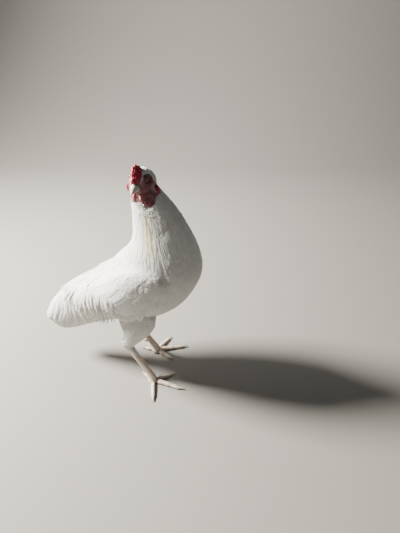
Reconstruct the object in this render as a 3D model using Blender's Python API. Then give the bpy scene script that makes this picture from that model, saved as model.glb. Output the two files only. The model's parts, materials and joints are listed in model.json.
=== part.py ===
"""A white game rooster, life size, standing with its head turned over its right shoulder.

Metres, +Z up.  The bird faces +X, its left side is +Y and it stands on z = 0.
Every sub-part is one closed solid, and neighbours keep a gap of GAP between them.
"""

import math
from collections import namedtuple

import bmesh
import bpy
import numpy as np
from mathutils import Matrix, Vector

# ---------------------------------------------------------------- driving dimensions
GAP = 0.0003  # clear space between two neighbouring solids
SHARPEST_CORNER = 2.5  # a corner of a cutter moves out at most this many gaps

# The box is centred on the origin, so everything, designed about a point between the feet, moves by this.
DESIGN_ORIGIN = (0.0843, 0.0009, 0.0)

BODY_SIDES = 24  # points round a section of neck, trunk and tail
BODY_STEPS = 3  # rings for each station of the body
BODY_SQUARENESS = 2.25  # exponent of the superellipse: 2 is an ellipse
SHOULDER_BREADTH = 0.10  # how much wider a section is on its upper half

# Where the body's outline runs: top and bottom point of a section in the X-Z plane, and half its width.
Station = namedtuple("Station", "name top_x top_z low_x low_z half_width")
BODY = (
    Station("skull_base", -0.016, 0.569, 0.034, 0.561, 0.026),
    Station("nape", -0.020, 0.548, 0.053, 0.538, 0.031),
    Station("throat", -0.020, 0.515, 0.081, 0.505, 0.038),
    Station("neck_middle", -0.020, 0.472, 0.109, 0.458, 0.047),
    Station("neck_base", -0.024, 0.432, 0.131, 0.405, 0.062),
    Station("shoulders", -0.046, 0.397, 0.139, 0.352, 0.079),
    Station("breast", -0.076, 0.369, 0.122, 0.303, 0.086),
    Station("keel", -0.102, 0.340, 0.086, 0.252, 0.085),
    Station("belly", -0.130, 0.321, 0.030, 0.213, 0.077),
    Station("loin", -0.158, 0.303, -0.038, 0.192, 0.064),
    Station("rump", -0.190, 0.284, -0.100, 0.172, 0.049),
    Station("tail_root", -0.224, 0.260, -0.160, 0.145, 0.036),
    Station("tail_middle", -0.258, 0.231, -0.214, 0.118, 0.027),
    Station("tail_end", -0.290, 0.192, -0.262, 0.101, 0.019),
    Station("tail_tip", -0.308, 0.158, -0.296, 0.114, 0.008),
)
INDEX = {station.name: number for number, station in enumerate(BODY)}

# The body is parted at these places, counted in stations.
BODY_PARTS = (
    ("neck_upper", 0.0, 2.5),
    ("neck_lower", 2.5, 4.5),
    ("trunk_front", 4.5, 7.5),
    ("trunk_rear", 7.5, 10.4),
    ("tail", 10.4, 14.0),
)

# Folded wing: where it lies on the body, and how far it stands out from it.
WingStation = namedtuple("WingStation", "place upper_deg lower_deg proud")
WING = (
    WingStation(5.00, 70, 90, 0.003),
    WingStation(5.20, 56, 106, 0.009),
    WingStation(5.80, 40, 118, 0.013),
    WingStation(6.90, 29, 121, 0.014),
    WingStation(8.00, 24, 117, 0.013),
    WingStation(8.90, 26, 112, 0.011),
    WingStation(9.70, 36, 109, 0.010),
    WingStation(10.30, 54, 106, 0.008),
    WingStation(10.70, 72, 98, 0.004),
)
WING_RINGS = 12
WING_ACROSS = 6
WING_SUNK = 0.003  # how deep the wing's inner face lies under the body's surface
WING_RIM = 0.0008  # half thickness left at the wing's rim

# Head, in its own frame: x towards the beak, z up, origin between the eyes.
HEAD_PLACE = (0.0068, -0.0120, 0.571)
HEAD_TURN_DEG = -95.0
HEAD_NOD_DEG = 9.0
HeadStation = namedtuple("HeadStation", "x top low half_width")
HEAD = (
    HeadStation(-0.0380, 0.0040, -0.0120, 0.0086),
    HeadStation(-0.0345, 0.0120, -0.0210, 0.0194),
    HeadStation(-0.0250, 0.0205, -0.0300, 0.0275),
    HeadStation(-0.0110, 0.0245, -0.0355, 0.0293),
    HeadStation(0.0030, 0.0240, -0.0360, 0.0276),
    HeadStation(0.0140, 0.0195, -0.0310, 0.0222),
    HeadStation(0.0215, 0.0145, -0.0215, 0.0160),
    HeadStation(0.0270, 0.0100, -0.0145, 0.0112),
)
HEAD_RINGS = 12
HEAD_SIDES = 16
HEAD_CROWN_NARROW = 0.16  # how much narrower a section of the head is on its upper half
EYE_PLACE = (0.0045, 0.0172, 0.0088)
EYE_RADIUS = 0.0075
EYE_SEGMENTS = (10, 6)
BEAK_LENGTH = 0.0215
BEAK_DROOP = 0.0068  # how far the tip of the upper half hooks down
BEAK_LOWER_LENGTH = 0.0165
BEAK_LOWER_DEPTH = 0.70  # as a share of the head's depth under the line between the halves
BEAK_TAPER = (0.93, 1.25)  # share of its girth lost at the tip, and how late it is lost
BEAK_DROOP_POWER = 2.2  # how late the hook begins
BEAK_RINGS = 6
BEAK_SIDES = 8
BEAK_SPLIT_Z = -0.0030  # height of the line between the two halves of the beak
COMB_X = (-0.010, 0.0315)
COMB_HEIGHT = 0.0145
COMB_SUNK = 0.0010  # depth of its middle line under the crown
COMB_BEADS = 4
COMB_BEAD = (0.10, 0.06)  # how much a bead stands up, and out to the sides
COMB_RIDGE = 0.11  # how far the three ridges stand out
COMB_FOOT = 0.45  # depth of its rounded foot, as a share of its height
COMB_END = 0.06
COMB_BLUNTNESS = 0.55
COMB_RINGS = 14
COMB_SIDES = 14
COMB_HALF_WIDTH = 0.0100
COMB_LEAN = 0.38  # how far it leans to the bird's right for its rise

# Wattles and ear lobes, in the head's frame: middle on the left side, half sizes, lean out at the foot.
LOBE_SEGMENTS = (8, 5)
Lobe = namedtuple("Lobe", "name place half_size lean_deg")
LOBES = (
    Lobe("wattle", (0.0215, 0.0085, -0.0315), (0.0062, 0.0040, 0.0105), 8),
    Lobe("earlobe", (-0.0085, 0.0345, -0.0240), (0.0062, 0.0046, 0.0125), 14),
)

# Legs: hock and foot of each leg, and the way each toe points, 0 straight ahead and + to the left.
Leg = namedtuple("Leg", "side knee hock foot inner middle outer back")
LEGS = (
    Leg("right", (0.004, -0.052, 0.236), (-0.060, -0.046, 0.124), (0.012, -0.057), 34, -8, -72, 150),
    Leg("left", (0.004, 0.052, 0.236), (-0.062, 0.040, 0.124), (-0.012, 0.057), -23, 23, 68, 178),
)
# Thigh, feathers and all: place from knee to hock, shift ahead and up, half depth fore and aft, half width.
ThighStation = namedtuple("ThighStation", "place ahead up half_depth half_width")
THIGH = (
    ThighStation(0.00, -0.010, 0.014, 0.0320, 0.0130),
    ThighStation(0.00, -0.015, -0.006, 0.0470, 0.0210),
    ThighStation(0.36, -0.005, -0.008, 0.0430, 0.0240),
    ThighStation(0.66, 0.005, -0.005, 0.0275, 0.0200),
    ThighStation(0.88, 0.007, -0.004, 0.0180, 0.0148),
    ThighStation(1.00, 0.006, -0.003, 0.0142, 0.0120),
)
THIGH_RINGS = 7
THIGH_SIDES = 16
NORMAL_STEP = 0.02
TANGENT_STEP = 0.05  # how far along a table of stations a direction is measured
SHANK_ROOT = 0.0120  # how far the shank's upper end runs up into the drumstick
SHANK_ROOT_SIZE = (0.0092, 0.0084)
# Shank: place from the hock to the ankle, half depth fore and aft, half width.
ShankStation = namedtuple("ShankStation", "place half_depth half_width")
SHANK = (
    ShankStation(0.00, 0.0122, 0.0102),
    ShankStation(0.12, 0.0110, 0.0092),
    ShankStation(0.40, 0.0086, 0.0072),
    ShankStation(0.78, 0.0084, 0.0074),
    ShankStation(0.98, 0.0100, 0.0094),
)
SHANK_RINGS = 10
SHANK_SIDES = 10
ANKLE_HEIGHT = 0.017  # height of the shank's lower end over the floor
PALM_RADIUS = 0.0132
PALM_RINGS = ((0.0125, 0.84), (0.0080, 0.98), (0.0035, 1.00), (0.0, 0.80))  # height, share of the radius
TOE_START = 0.0126  # the toes start this far from the middle of the foot
TOE_SIDES = 8
TOE_PADS = 0.09  # how much a toe swells at each pad
TOE_ARCH = 0.0016
TOE_FLATTENING = 0.90  # height of a toe's middle line, as a share of its radius
TOE_SPREAD = 0.365  # a toe's radius is at most this share of its reach, so that neighbours stay apart
# reach of the toe from the middle of the foot without its claw, radius at its root and end, bones, claw
Toe = namedtuple("Toe", "name reach root_radius end_radius bones claw")
TOES = (
    Toe("inner", 0.0520, 0.0058, 0.0044, 2, 0.0150),
    Toe("middle", 0.0800, 0.0064, 0.0046, 3, 0.0175),
    Toe("outer", 0.0600, 0.0056, 0.0042, 3, 0.0145),
    Toe("back", 0.0350, 0.0050, 0.0042, 1, 0.0140),
)
CLAW_HEIGHT = 1.05  # height of a claw's root, as a share of the toe's end radius
CLAW_GIRTH = 0.74  # radius of its root, as a share of the toe's end radius
CLAW_FLATNESS = 0.80
CLAW_ARCH = 0.20
CLAW_ARCH_TURN = 0.9  # how steeply the tip points down
CLAW_TIP_RADIUS = 0.0006
CLAW_TAPER = 0.8
CLAW_HOOK = 0.10  # how much the tip falls short of the claw's length
CLAW_DROP_POWER = 2.2  # how late the claw comes down to the floor
CLAW_RINGS = 4
CLAW_SIDES = 6
SPUR_PLACE = 0.68  # from the hock to the ankle
SPUR_WAY = (0.62, 0.55, 0.05)  # back, inwards and down
SPUR_ROOT = 0.0055  # how far its root lies from the middle of the shank
SPUR_LENGTH = 0.0130
SPUR_RISE = 0.0022
SPUR_RADIUS = 0.0048
SPUR_TIP_RADIUS = 0.0007
SPUR_TAPER = 0.75
SPUR_RINGS = 5
SPUR_SIDES = 8

# Colours (linear RGB), roughness.
PAINT = {
    "plumage": ((0.82, 0.80, 0.74), 0.75),
    "face": ((0.45, 0.05, 0.06), 0.55),
    "scales": ((0.62, 0.47, 0.36), 0.50),
    "horn": ((0.60, 0.56, 0.48), 0.35),
    "eye": ((0.50, 0.42, 0.30), 0.08),
}


# ---------------------------------------------------------------- scene helpers
def clear_scene():
    for obj in list(bpy.data.objects):
        bpy.data.objects.remove(obj, do_unlink=True)


def new_collection(name):
    collection = bpy.data.collections.new(name)
    bpy.context.scene.collection.children.link(collection)
    return collection


def paint(name):
    material = bpy.data.materials.get(name)
    if material is None:
        colour, roughness = PAINT[name]
        material = bpy.data.materials.new(name)
        material.use_nodes = True
        shader = material.node_tree.nodes["Principled BSDF"]
        shader.inputs["Base Color"].default_value = (*colour, 1.0)
        shader.inputs["Roughness"].default_value = roughness
    return material


def add_mesh(name, bm, finish, helper=False):
    """Makes an object of a bmesh; a helper is a cutter that isn't part of the bird."""
    bmesh.ops.recalc_face_normals(bm, faces=bm.faces)
    bmesh.ops.triangulate(bm, faces=bm.faces)  # so a cutter bends its faces just as its solid does
    mesh = bpy.data.meshes.new(name)
    bm.to_mesh(mesh)
    bm.free()
    mesh.shade_smooth()
    mesh.materials.append(paint(finish))
    obj = bpy.data.objects.new(name, mesh)
    if helper:
        cutters.objects.link(obj)
        obj.hide_render = True
        obj.display_type = "WIRE"
    else:
        bird.objects.link(obj)
        obj.parent = stance
    return obj


def loft(name, rings, finish, helper=False):
    """A closed skin over rings that all have the same number of points, with flat ends."""
    bm = bmesh.new()
    rows = [[bm.verts.new(point) for point in ring] for ring in rings]
    sides = len(rows[0])
    for near, far in zip(rows, rows[1:]):
        for k in range(sides):
            bm.faces.new((near[k], near[(k + 1) % sides], far[(k + 1) % sides], far[k]))
    bm.faces.new(rows[0])
    bm.faces.new(rows[-1])
    return add_mesh(name, bm, finish, helper)


def grown(obj, amount=GAP):
    """A cutter: the same shape with its faces moved out by amount."""
    bm = bmesh.new()
    bm.from_mesh(obj.data)
    bm.normal_update()
    moves = [vert.normal * amount * min(vert.calc_shell_factor(), SHARPEST_CORNER) for vert in bm.verts]
    for vert, move in zip(bm.verts, moves):
        vert.co += move
    cutter = add_mesh(obj.name + "_cutter", bm, "plumage", helper=True)
    cutter.matrix_basis = obj.matrix_basis
    cutter.parent = stance
    return cutter


def cut(obj, *tools, solver="EXACT"):
    for tool in tools:
        modifier = obj.modifiers.new("cut_" + tool.name, "BOOLEAN")
        modifier.operation = "DIFFERENCE"
        modifier.solver = solver
        modifier.object = tool


# ---------------------------------------------------------------- curves and sections
def spline(rows, place):
    """The row at a place along a table of numbers, on a Catmull-Rom curve through its rows."""
    rows = np.asarray(rows, float)
    last = len(rows) - 1
    k = int(min(max(math.floor(place), 0), last - 1))
    f = place - k
    before = rows[k - 1] if k > 0 else 2 * rows[0] - rows[1]
    after = rows[k + 2] if k + 2 <= last else 2 * rows[last] - rows[last - 1]
    a, b = rows[k], rows[k + 1]
    return 0.5 * (
        2 * a
        + (b - before) * f
        + (2 * before - 5 * a + 4 * b - after) * f**2
        + (3 * a - before - 3 * b + after) * f**3
    )


def body_point(place, angle):
    """A point on the body: place counts stations, angle is 0 on the back, +90 degrees on the left."""
    top_x, top_z, low_x, low_z, half_width = spline([s[1:] for s in BODY], place)
    c, s = math.cos(angle), math.sin(angle)
    power = 2.0 / BODY_SQUARENESS
    up = math.copysign(abs(c) ** power, c)
    side = math.copysign(abs(s) ** power, s) * (1.0 + SHOULDER_BREADTH * c)
    return Vector(
        (
            (top_x + low_x) / 2 + up * (top_x - low_x) / 2,
            side * half_width,
            (top_z + low_z) / 2 + up * (top_z - low_z) / 2,
        )
    )


def body_normal(place, angle):
    step = NORMAL_STEP
    along = body_point(place + step, angle) - body_point(place - step, angle)
    around = body_point(place, angle + step) - body_point(place, angle - step)
    return along.cross(around).normalized()


def section_normal(place):
    """The direction a section faces, towards the tail."""
    top_x, top_z, low_x, low_z, _ = spline([s[1:] for s in BODY], place)
    return Vector((low_z - top_z, 0.0, top_x - low_x)).normalized()


def oval(centre, across, up, sides):
    """A ring round centre with the half axes across and up."""
    turn = 2 * math.pi / sides
    return [
        centre + across * math.sin(k * turn) + up * math.cos(k * turn)
        for k in range(sides)
    ]


# ---------------------------------------------------------------- neck, trunk and tail
def make_body_part(name, start, end):
    steps = max(2, round((end - start) * BODY_STEPS))
    rings = []
    for k in range(steps + 1):
        place = start + (end - start) * k / steps
        inset = {0: GAP / 2, steps: -GAP / 2}.get(k, 0.0)
        shift = section_normal(place) * inset
        rings.append(
            [
                body_point(place, 2 * math.pi * j / BODY_SIDES) + shift
                for j in range(BODY_SIDES)
            ]
        )
    return loft(name, rings, "plumage")


# ---------------------------------------------------------------- wings
def make_wing(name, side):
    """A folded wing: a lens that follows the body's flank from the shoulder to the rump."""
    rings = []
    for k in range(WING_RINGS + 1):
        place, upper, lower, proud = spline(WING, k * (len(WING) - 1) / WING_RINGS)
        across = [-1.0 + 2.0 * j / WING_ACROSS for j in range(WING_ACROSS + 1)]
        outside, inside = [], []
        for v in across:
            angle = side * math.radians((upper + lower) / 2 + (lower - upper) / 2 * v)
            swell = math.sqrt(max(0.0, 1.0 - v * v))
            point = body_point(place, angle)
            normal = body_normal(place, angle)
            if normal.y * side < 0:
                normal = -normal
            outside.append(point + normal * (proud * swell + WING_RIM))
            inside.append(point - normal * (WING_SUNK * swell + WING_RIM))
        rings.append(outside + inside[::-1])
    return loft(name, rings, "plumage")


# ---------------------------------------------------------------- head
def head_matrix():
    turn = Matrix.Rotation(math.radians(HEAD_TURN_DEG), 4, "Z")
    nod = Matrix.Rotation(math.radians(HEAD_NOD_DEG), 4, "Y")
    return Matrix.Translation(HEAD_PLACE) @ turn @ nod


def head_rings():
    rings = []
    for k in range(HEAD_RINGS + 1):
        x, top, low, half_width = spline(HEAD, k * (len(HEAD) - 1) / HEAD_RINGS)
        ring = []
        for j in range(HEAD_SIDES):
            a = 2 * math.pi * j / HEAD_SIDES
            up = (top + low) / 2 + (top - low) / 2 * math.cos(a)
            narrow = 1.0 - HEAD_CROWN_NARROW * math.cos(a)
            ring.append(Vector((x, math.sin(a) * half_width * narrow, up)))
        rings.append(ring)
    return rings


def make_head():
    head = loft("head", head_rings(), "face")
    head.matrix_basis = head_matrix()
    return head


def make_eye(name, side):
    bm = bmesh.new()
    around, rings = EYE_SEGMENTS
    bmesh.ops.create_uvsphere(bm, u_segments=around, v_segments=rings, radius=EYE_RADIUS)
    eye = add_mesh(name, bm, "eye")
    x, y, z = EYE_PLACE
    eye.matrix_basis = head_matrix() @ Matrix.Translation((x, side * y, z))
    return eye


def make_beak(name, upper):
    """Half of the beak: a hooked cone with a flat face where the halves meet."""
    root = HEAD[-1]
    side = 1.0 if upper else -1.0
    length = BEAK_LENGTH if upper else BEAK_LOWER_LENGTH
    depth = root.top - BEAK_SPLIT_Z if upper else (BEAK_SPLIT_Z - root.low) * BEAK_LOWER_DEPTH
    lost, late = BEAK_TAPER
    rings = []
    for k in range(BEAK_RINGS + 1):
        f = k / BEAK_RINGS
        taper = 1.0 - lost * f**late
        reach = length * f
        split = BEAK_SPLIT_Z - BEAK_DROOP * (reach / BEAK_LENGTH) ** BEAK_DROOP_POWER + side * GAP / 2
        ring = []
        for j in range(BEAK_SIDES + 1):
            a = math.pi * j / BEAK_SIDES
            x = root.x + GAP + reach
            across = math.cos(a) * root.half_width * taper
            ring.append(Vector((x, across, split + side * math.sin(a) * depth * taper)))
        rings.append(ring)
    beak = loft(name, rings, "horn")
    beak.matrix_basis = head_matrix()
    return beak


def crown_height(x):
    """Height of the skull's top over the head's own origin at x."""
    return float(np.interp(x, [s.x for s in HEAD], [s.top for s in HEAD]))


def make_comb():
    """A pea comb: three low ridges side by side, each a row of beads."""
    start, end = COMB_X
    rings = []
    for k in range(COMB_RINGS + 1):
        f = k / COMB_RINGS
        x = start + (end - start) * f
        swell = math.sin(math.pi * (COMB_END + (1.0 - 2.0 * COMB_END) * f)) ** COMB_BLUNTNESS
        bead = math.cos(2 * math.pi * COMB_BEADS * f)
        root = crown_height(x) - COMB_SUNK
        ring = []
        for j in range(COMB_SIDES):
            a = 2 * math.pi * j / COMB_SIDES
            ridges = 1.0 + COMB_RIDGE * math.cos(3 * a) * max(0.0, math.cos(a))
            tall = COMB_HEIGHT if math.cos(a) > 0 else COMB_HEIGHT * COMB_FOOT
            rise = math.cos(a) * tall * swell * ridges * (1.0 + COMB_BEAD[0] * bead)
            side = math.sin(a) * COMB_HALF_WIDTH * swell * (1.0 + COMB_BEAD[1] * bead) - COMB_LEAN * rise
            ring.append(Vector((x, side, root + rise)))
        rings.append(ring)
    comb = loft("comb", rings, "face")
    comb.matrix_basis = head_matrix()
    return comb


def make_lobe(lobe, word, side):
    """A soft oval lobe on one side of the head."""
    bm = bmesh.new()
    around, rings = LOBE_SEGMENTS
    bmesh.ops.create_uvsphere(bm, u_segments=around, v_segments=rings, radius=1.0)
    bmesh.ops.scale(bm, vec=lobe.half_size, verts=bm.verts)
    piece = add_mesh(f"{lobe.name}_{word}", bm, "face")
    x, y, z = lobe.place
    lean = Matrix.Rotation(math.radians(side * lobe.lean_deg), 4, "X")
    piece.matrix_basis = head_matrix() @ Matrix.Translation((x, side * y, z)) @ lean
    return piece


# ---------------------------------------------------------------- legs
def leg_frame(direction, side_hint=Vector((0.0, 1.0, 0.0))):
    """Two directions square to a limb: across it (about +Y) and fore and aft."""
    direction = direction.normalized()
    across = (side_hint - direction * side_hint.dot(direction)).normalized()
    return across, direction.cross(across).normalized()


def make_thigh(leg):
    """Feathered thigh and drumstick, from inside the flank to just over the hock."""
    hock, knee = Vector(leg.hock), Vector(leg.knee)
    rows = []
    for station in THIGH:
        x, y, z = knee.lerp(hock, station.place) + Vector((station.ahead, 0.0, station.up))
        rows.append((x, y, z, station.half_depth, station.half_width))
    rings = []
    for k in range(THIGH_RINGS + 1):
        place = k * (len(rows) - 1) / THIGH_RINGS
        row = spline(rows, place)
        ahead = spline(rows, place + TANGENT_STEP) - spline(rows, place - TANGENT_STEP)
        across, fore = leg_frame(Vector(ahead[:3]))
        rings.append(oval(Vector(row[:3]), across * row[4], fore * row[3], THIGH_SIDES))
    return loft("thigh_" + leg.side, rings, "plumage")


def make_shank(leg):
    """Scaled shank from inside the drumstick to the foot, with the palm that the toes grow from."""
    hock = Vector(leg.hock)
    foot = Vector((*leg.foot, 0.0))
    ankle = foot + Vector((0.0, 0.0, ANKLE_HEIGHT))
    knee_way = (Vector(leg.knee) - hock).normalized()
    rows = [(*(hock + knee_way * SHANK_ROOT), *SHANK_ROOT_SIZE)]
    for station in SHANK:
        rows.append((*hock.lerp(ankle, station.place), station.half_depth, station.half_width))
    rings = []
    for k in range(SHANK_RINGS + 1):
        place = k * (len(rows) - 1) / SHANK_RINGS
        row = spline(rows, place)
        ahead = spline(rows, place + TANGENT_STEP) - spline(rows, place - TANGENT_STEP)
        across, fore = leg_frame(Vector(ahead[:3]))
        rings.append(oval(Vector(row[:3]), across * row[4], fore * row[3], SHANK_SIDES))
    # the palm: rings that turn level and widen, and end flat on the floor
    across, fore = Vector((0.0, 1.0, 0.0)), Vector((-1.0, 0.0, 0.0))
    for height, share in PALM_RINGS:
        centre = foot + Vector((0.0, 0.0, height))
        radius = PALM_RADIUS * share
        rings.append(oval(centre, across * radius, -fore * radius, SHANK_SIDES))
    return loft("shank_" + leg.side, rings, "scales")


def toe_ring(centre, side, radius):
    """A ring across a toe, cut off flat at the floor."""
    return [
        Vector((p.x, p.y, max(p.z, 0.0)))
        for p in oval(centre, side * radius, Vector((0.0, 0.0, radius)), TOE_SIDES)
    ]


def make_toe(leg, toe, heading_deg):
    heading = math.radians(heading_deg)
    way = Vector((math.cos(heading), math.sin(heading), 0.0))
    side = Vector((-way.y, way.x, 0.0))
    foot = Vector((*leg.foot, 0.0))
    rings = []
    steps = 2 * toe.bones + 2
    for k in range(steps + 1):
        f = k / steps
        reach = TOE_START + (toe.reach - TOE_START) * f
        radius = toe.root_radius + (toe.end_radius - toe.root_radius) * f
        radius *= 1.0 - TOE_PADS * math.cos(2 * math.pi * toe.bones * f)
        radius = min(radius, reach * TOE_SPREAD)
        arch = TOE_ARCH * math.sin(math.pi * f)
        lift = radius * TOE_FLATTENING + arch * (1.0 - f)
        rings.append(toe_ring(foot + way * reach + Vector((0.0, 0.0, lift)), side, radius))
    return loft(f"toe_{leg.side}_{toe.name}", rings, "scales")


def make_claw(leg, toe, heading_deg):
    """A curved horn that leaves the toe and comes down to the floor."""
    heading = math.radians(heading_deg)
    way = Vector((math.cos(heading), math.sin(heading), 0.0))
    side = Vector((-way.y, way.x, 0.0))
    start = Vector((*leg.foot, 0.0)) + way * (toe.reach + GAP)
    root_height = toe.end_radius * CLAW_HEIGHT
    rings = []
    for k in range(CLAW_RINGS + 1):
        f = k / CLAW_RINGS
        radius = toe.end_radius * CLAW_GIRTH * (1.0 - f) ** CLAW_TAPER + CLAW_TIP_RADIUS
        centre = start + way * toe.claw * (f - CLAW_HOOK * f**2)
        arch = 1.0 + CLAW_ARCH * math.sin(math.pi * f)
        centre.z = root_height * arch * (1.0 - f**CLAW_DROP_POWER) + radius * f
        ahead = way - Vector((0.0, 0.0, CLAW_ARCH_TURN * f))
        _, up = leg_frame(ahead, side)
        if up.z < 0:
            up = -up
        ring = oval(centre, side * radius * CLAW_FLATNESS, up * radius, CLAW_SIDES)
        rings.append([Vector((p.x, p.y, max(p.z, 0.0))) for p in ring])
    return loft(f"claw_{leg.side}_{toe.name}", rings, "horn")


def make_spur(leg):
    """A short spur on the inner back of the shank."""
    hock, ankle = Vector(leg.hock), Vector((*leg.foot, ANKLE_HEIGHT))
    inward = -1.0 if leg.side == "left" else 1.0
    root = hock.lerp(ankle, SPUR_PLACE)
    back, inner, down = SPUR_WAY
    way = Vector((-back, inward * inner, -down)).normalized()
    across, up = leg_frame(way)
    rings = []
    for k in range(SPUR_RINGS + 1):
        f = k / SPUR_RINGS
        radius = SPUR_RADIUS * (1.0 - f) ** SPUR_TAPER + SPUR_TIP_RADIUS
        centre = root + way * (SPUR_ROOT + SPUR_LENGTH * f) + Vector((0.0, 0.0, SPUR_RISE * f**2))
        rings.append(oval(centre, across * radius, up * radius, SPUR_SIDES))
    return loft("spur_" + leg.side, rings, "horn")


# ---------------------------------------------------------------- the whole bird
def build():
    parts = {name: make_body_part(name, start, end) for name, start, end in BODY_PARTS}
    wings = [make_wing("wing_right", -1), make_wing("wing_left", 1)]
    head = make_head()
    eyes = [make_eye("eye_right", -1), make_eye("eye_left", 1)]
    beak = make_beak("beak_upper", True)
    make_beak("beak_lower", False)
    comb = make_comb()
    lobes = []
    for side, word in ((-1, "right"), (1, "left")):
        for lobe in LOBES:
            lobes.append(make_lobe(lobe, word, side))

    head_tool = grown(head)
    cut(comb, grown(beak), head_tool)
    for lobe in lobes:
        cut(lobe, head_tool)
    lobe_tools = [grown(lobe) for lobe in lobes]
    cut(parts["neck_upper"], head_tool, *lobe_tools)
    cut(head, *[grown(eye) for eye in eyes])

    wing_tools = [grown(wing) for wing in wings]
    for leg, wing_tool in zip(LEGS, wing_tools):
        thigh = make_thigh(leg)
        thigh_tool = grown(thigh)
        cut(parts["trunk_front"], thigh_tool)
        cut(parts["trunk_rear"], thigh_tool)
        cut(thigh, wing_tool)
        shank_tool = grown(make_shank(leg))
        # the exact solver loses the left thigh here
        cut(thigh, shank_tool, solver="MANIFOLD")
        cut(make_spur(leg), shank_tool)
        for toe in TOES:
            heading_deg = getattr(leg, toe.name)
            cut(make_toe(leg, toe, heading_deg), shank_tool)
            make_claw(leg, toe, heading_deg)
    for name in ("trunk_front", "trunk_rear", "tail"):
        cut(parts[name], *wing_tools)


clear_scene()
bird = new_collection("rooster")
cutters = new_collection("cutters")
stance = bpy.data.objects.new("stance", None)
bird.objects.link(stance)
stance.location = DESIGN_ORIGIN
build()
bpy.context.view_layer.update()
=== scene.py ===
"""A white game rooster, life size: skin, feathers, scales, eyes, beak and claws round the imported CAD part."""

import json
import math
import random
from collections import namedtuple

import bpy
import numpy as np
from mathutils import Matrix, Quaternion, Vector, noise
from mathutils.bvhtree import BVHTree
from mathutils.interpolate import poly_3d_calc


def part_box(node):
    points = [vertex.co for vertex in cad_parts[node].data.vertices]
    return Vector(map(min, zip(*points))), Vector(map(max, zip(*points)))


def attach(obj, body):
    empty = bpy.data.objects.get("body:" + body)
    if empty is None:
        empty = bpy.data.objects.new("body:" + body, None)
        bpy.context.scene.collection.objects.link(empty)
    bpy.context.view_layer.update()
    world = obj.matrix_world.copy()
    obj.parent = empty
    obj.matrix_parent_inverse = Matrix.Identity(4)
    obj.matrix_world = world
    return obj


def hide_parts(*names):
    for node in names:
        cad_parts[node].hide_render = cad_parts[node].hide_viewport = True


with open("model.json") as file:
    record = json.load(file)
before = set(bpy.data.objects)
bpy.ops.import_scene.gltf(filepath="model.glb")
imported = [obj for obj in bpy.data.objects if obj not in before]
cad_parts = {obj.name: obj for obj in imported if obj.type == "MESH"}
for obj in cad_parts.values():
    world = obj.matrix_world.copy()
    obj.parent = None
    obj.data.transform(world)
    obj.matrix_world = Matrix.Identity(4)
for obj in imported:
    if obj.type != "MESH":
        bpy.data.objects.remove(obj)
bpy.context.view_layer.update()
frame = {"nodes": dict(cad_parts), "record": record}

# ---- named sizes, metres and degrees
SENSOR, LENS = 36.0, 27.0169  # the camera's, in millimetres
CAMERA_PLACE = (0.2998, -0.7786, 0.88)  # from the point between the feet
CAMERA_PITCH = 33.0
BIRD_YAW = 12.0

ENVELOPE_CELL = 0.0026  # cells of the smooth surface that the feathers follow
ENVELOPE_SMOOTHING = 10
COARSE_CELL = 0.0042  # skin that feathers hide
COARSE_SMOOTHING = 4
FACE_CELL = 0.00085
FACE_SMOOTHING = 3
LEG_CELL = 0.0010
LEG_SMOOTHING = 3
LEG_GROWTH = 0.0004
COAT_DEPTH = 0.0024  # the skin lies this far under the surface that the feathers follow,
THIN_SHARE = 0.30  # and at most this share of a thin part's thickness

HEAD_ORIGIN = (-0.0045, 0.0, -0.0088)  # the head frame's origin, from the middle between the eyes
BEAK_DIP = 22.9  # how far below the head's own level the line from the eyes to the beak's tip points
EYE_OPENING = (0.0055, 0.0047)  # half length and half height of the gap between the lids
EYE_DEPTH = 0.80  # how far the ball bulges out, as a share of its radius
LID_THICKNESS = 0.0010
FACE_FOLD = 0.00055  # depth of the folds of the bare face
FACE_FOLD_SCALE = 210.0
FINE_FOLD = 0.00022  # depth of its fine wrinkles
FINE_FOLD_SCALE = 546.0
FOLDS_END = (0.018, 0.024)  # towards the beak they fade between these, forward in the head's frame

random.seed(7)
noise.seed_set(7)

# ---- places taken from the frame
mounts = {mount["name"]: Vector(mount["pos_m"]) for mount in frame["record"]["mounts"]}
STANCE = (mounts["sole_right"] + mounts["sole_left"]) / 2
AHEAD, LEFT, UP = Vector((1, 0, 0)), Vector((0, 1, 0)), Vector((0, 0, 1))
DOWN = -UP
SIDES = {"right": -1.0, "left": 1.0}
TOES = ("inner", "middle", "outer", "back")


def clamp(value, low=0.0, high=1.0):
    return max(low, min(high, value))


def ease(value, start, end):
    """0 at start, 1 at end, and smooth between them."""
    share = clamp((value - start) / (end - start))
    return share * share * (3 - 2 * share)


def blend(a, b, share):
    return a + (b - a) * share


def node_points(name):
    return np.array([vert.co for vert in frame["nodes"][name].data.vertices])


def box_centre(name):
    return sum(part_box(name), Vector()) / 2


# ---- meshes
Shape = namedtuple("Shape", "points faces")


def node_shape(name, grow=0.0):
    """A CAD node's own mesh, moved out by grow."""
    mesh = frame["nodes"][name].data
    merged = {}
    index = []
    points = []
    for vert in mesh.vertices:
        key = tuple(round(value, 6) for value in vert.co)
        if key not in merged:
            merged[key] = len(points)
            points.append(vert.co.copy())
        index.append(merged[key])
    faces = []
    for polygon in mesh.polygons:
        face = [index[k] for k in polygon.vertices]
        if len(set(face)) > 2:
            faces.append(tuple(face))
    if grow:
        normals = [Vector() for _ in points]
        for face in faces:
            a, b, c = (points[k] for k in face[:3])
            across = (b - a).cross(c - a)
            for k in face:
                normals[k] += across
        points = [p + n.normalized() * grow for p, n in zip(points, normals)]
    return Shape([tuple(p) for p in points], faces)


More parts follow.
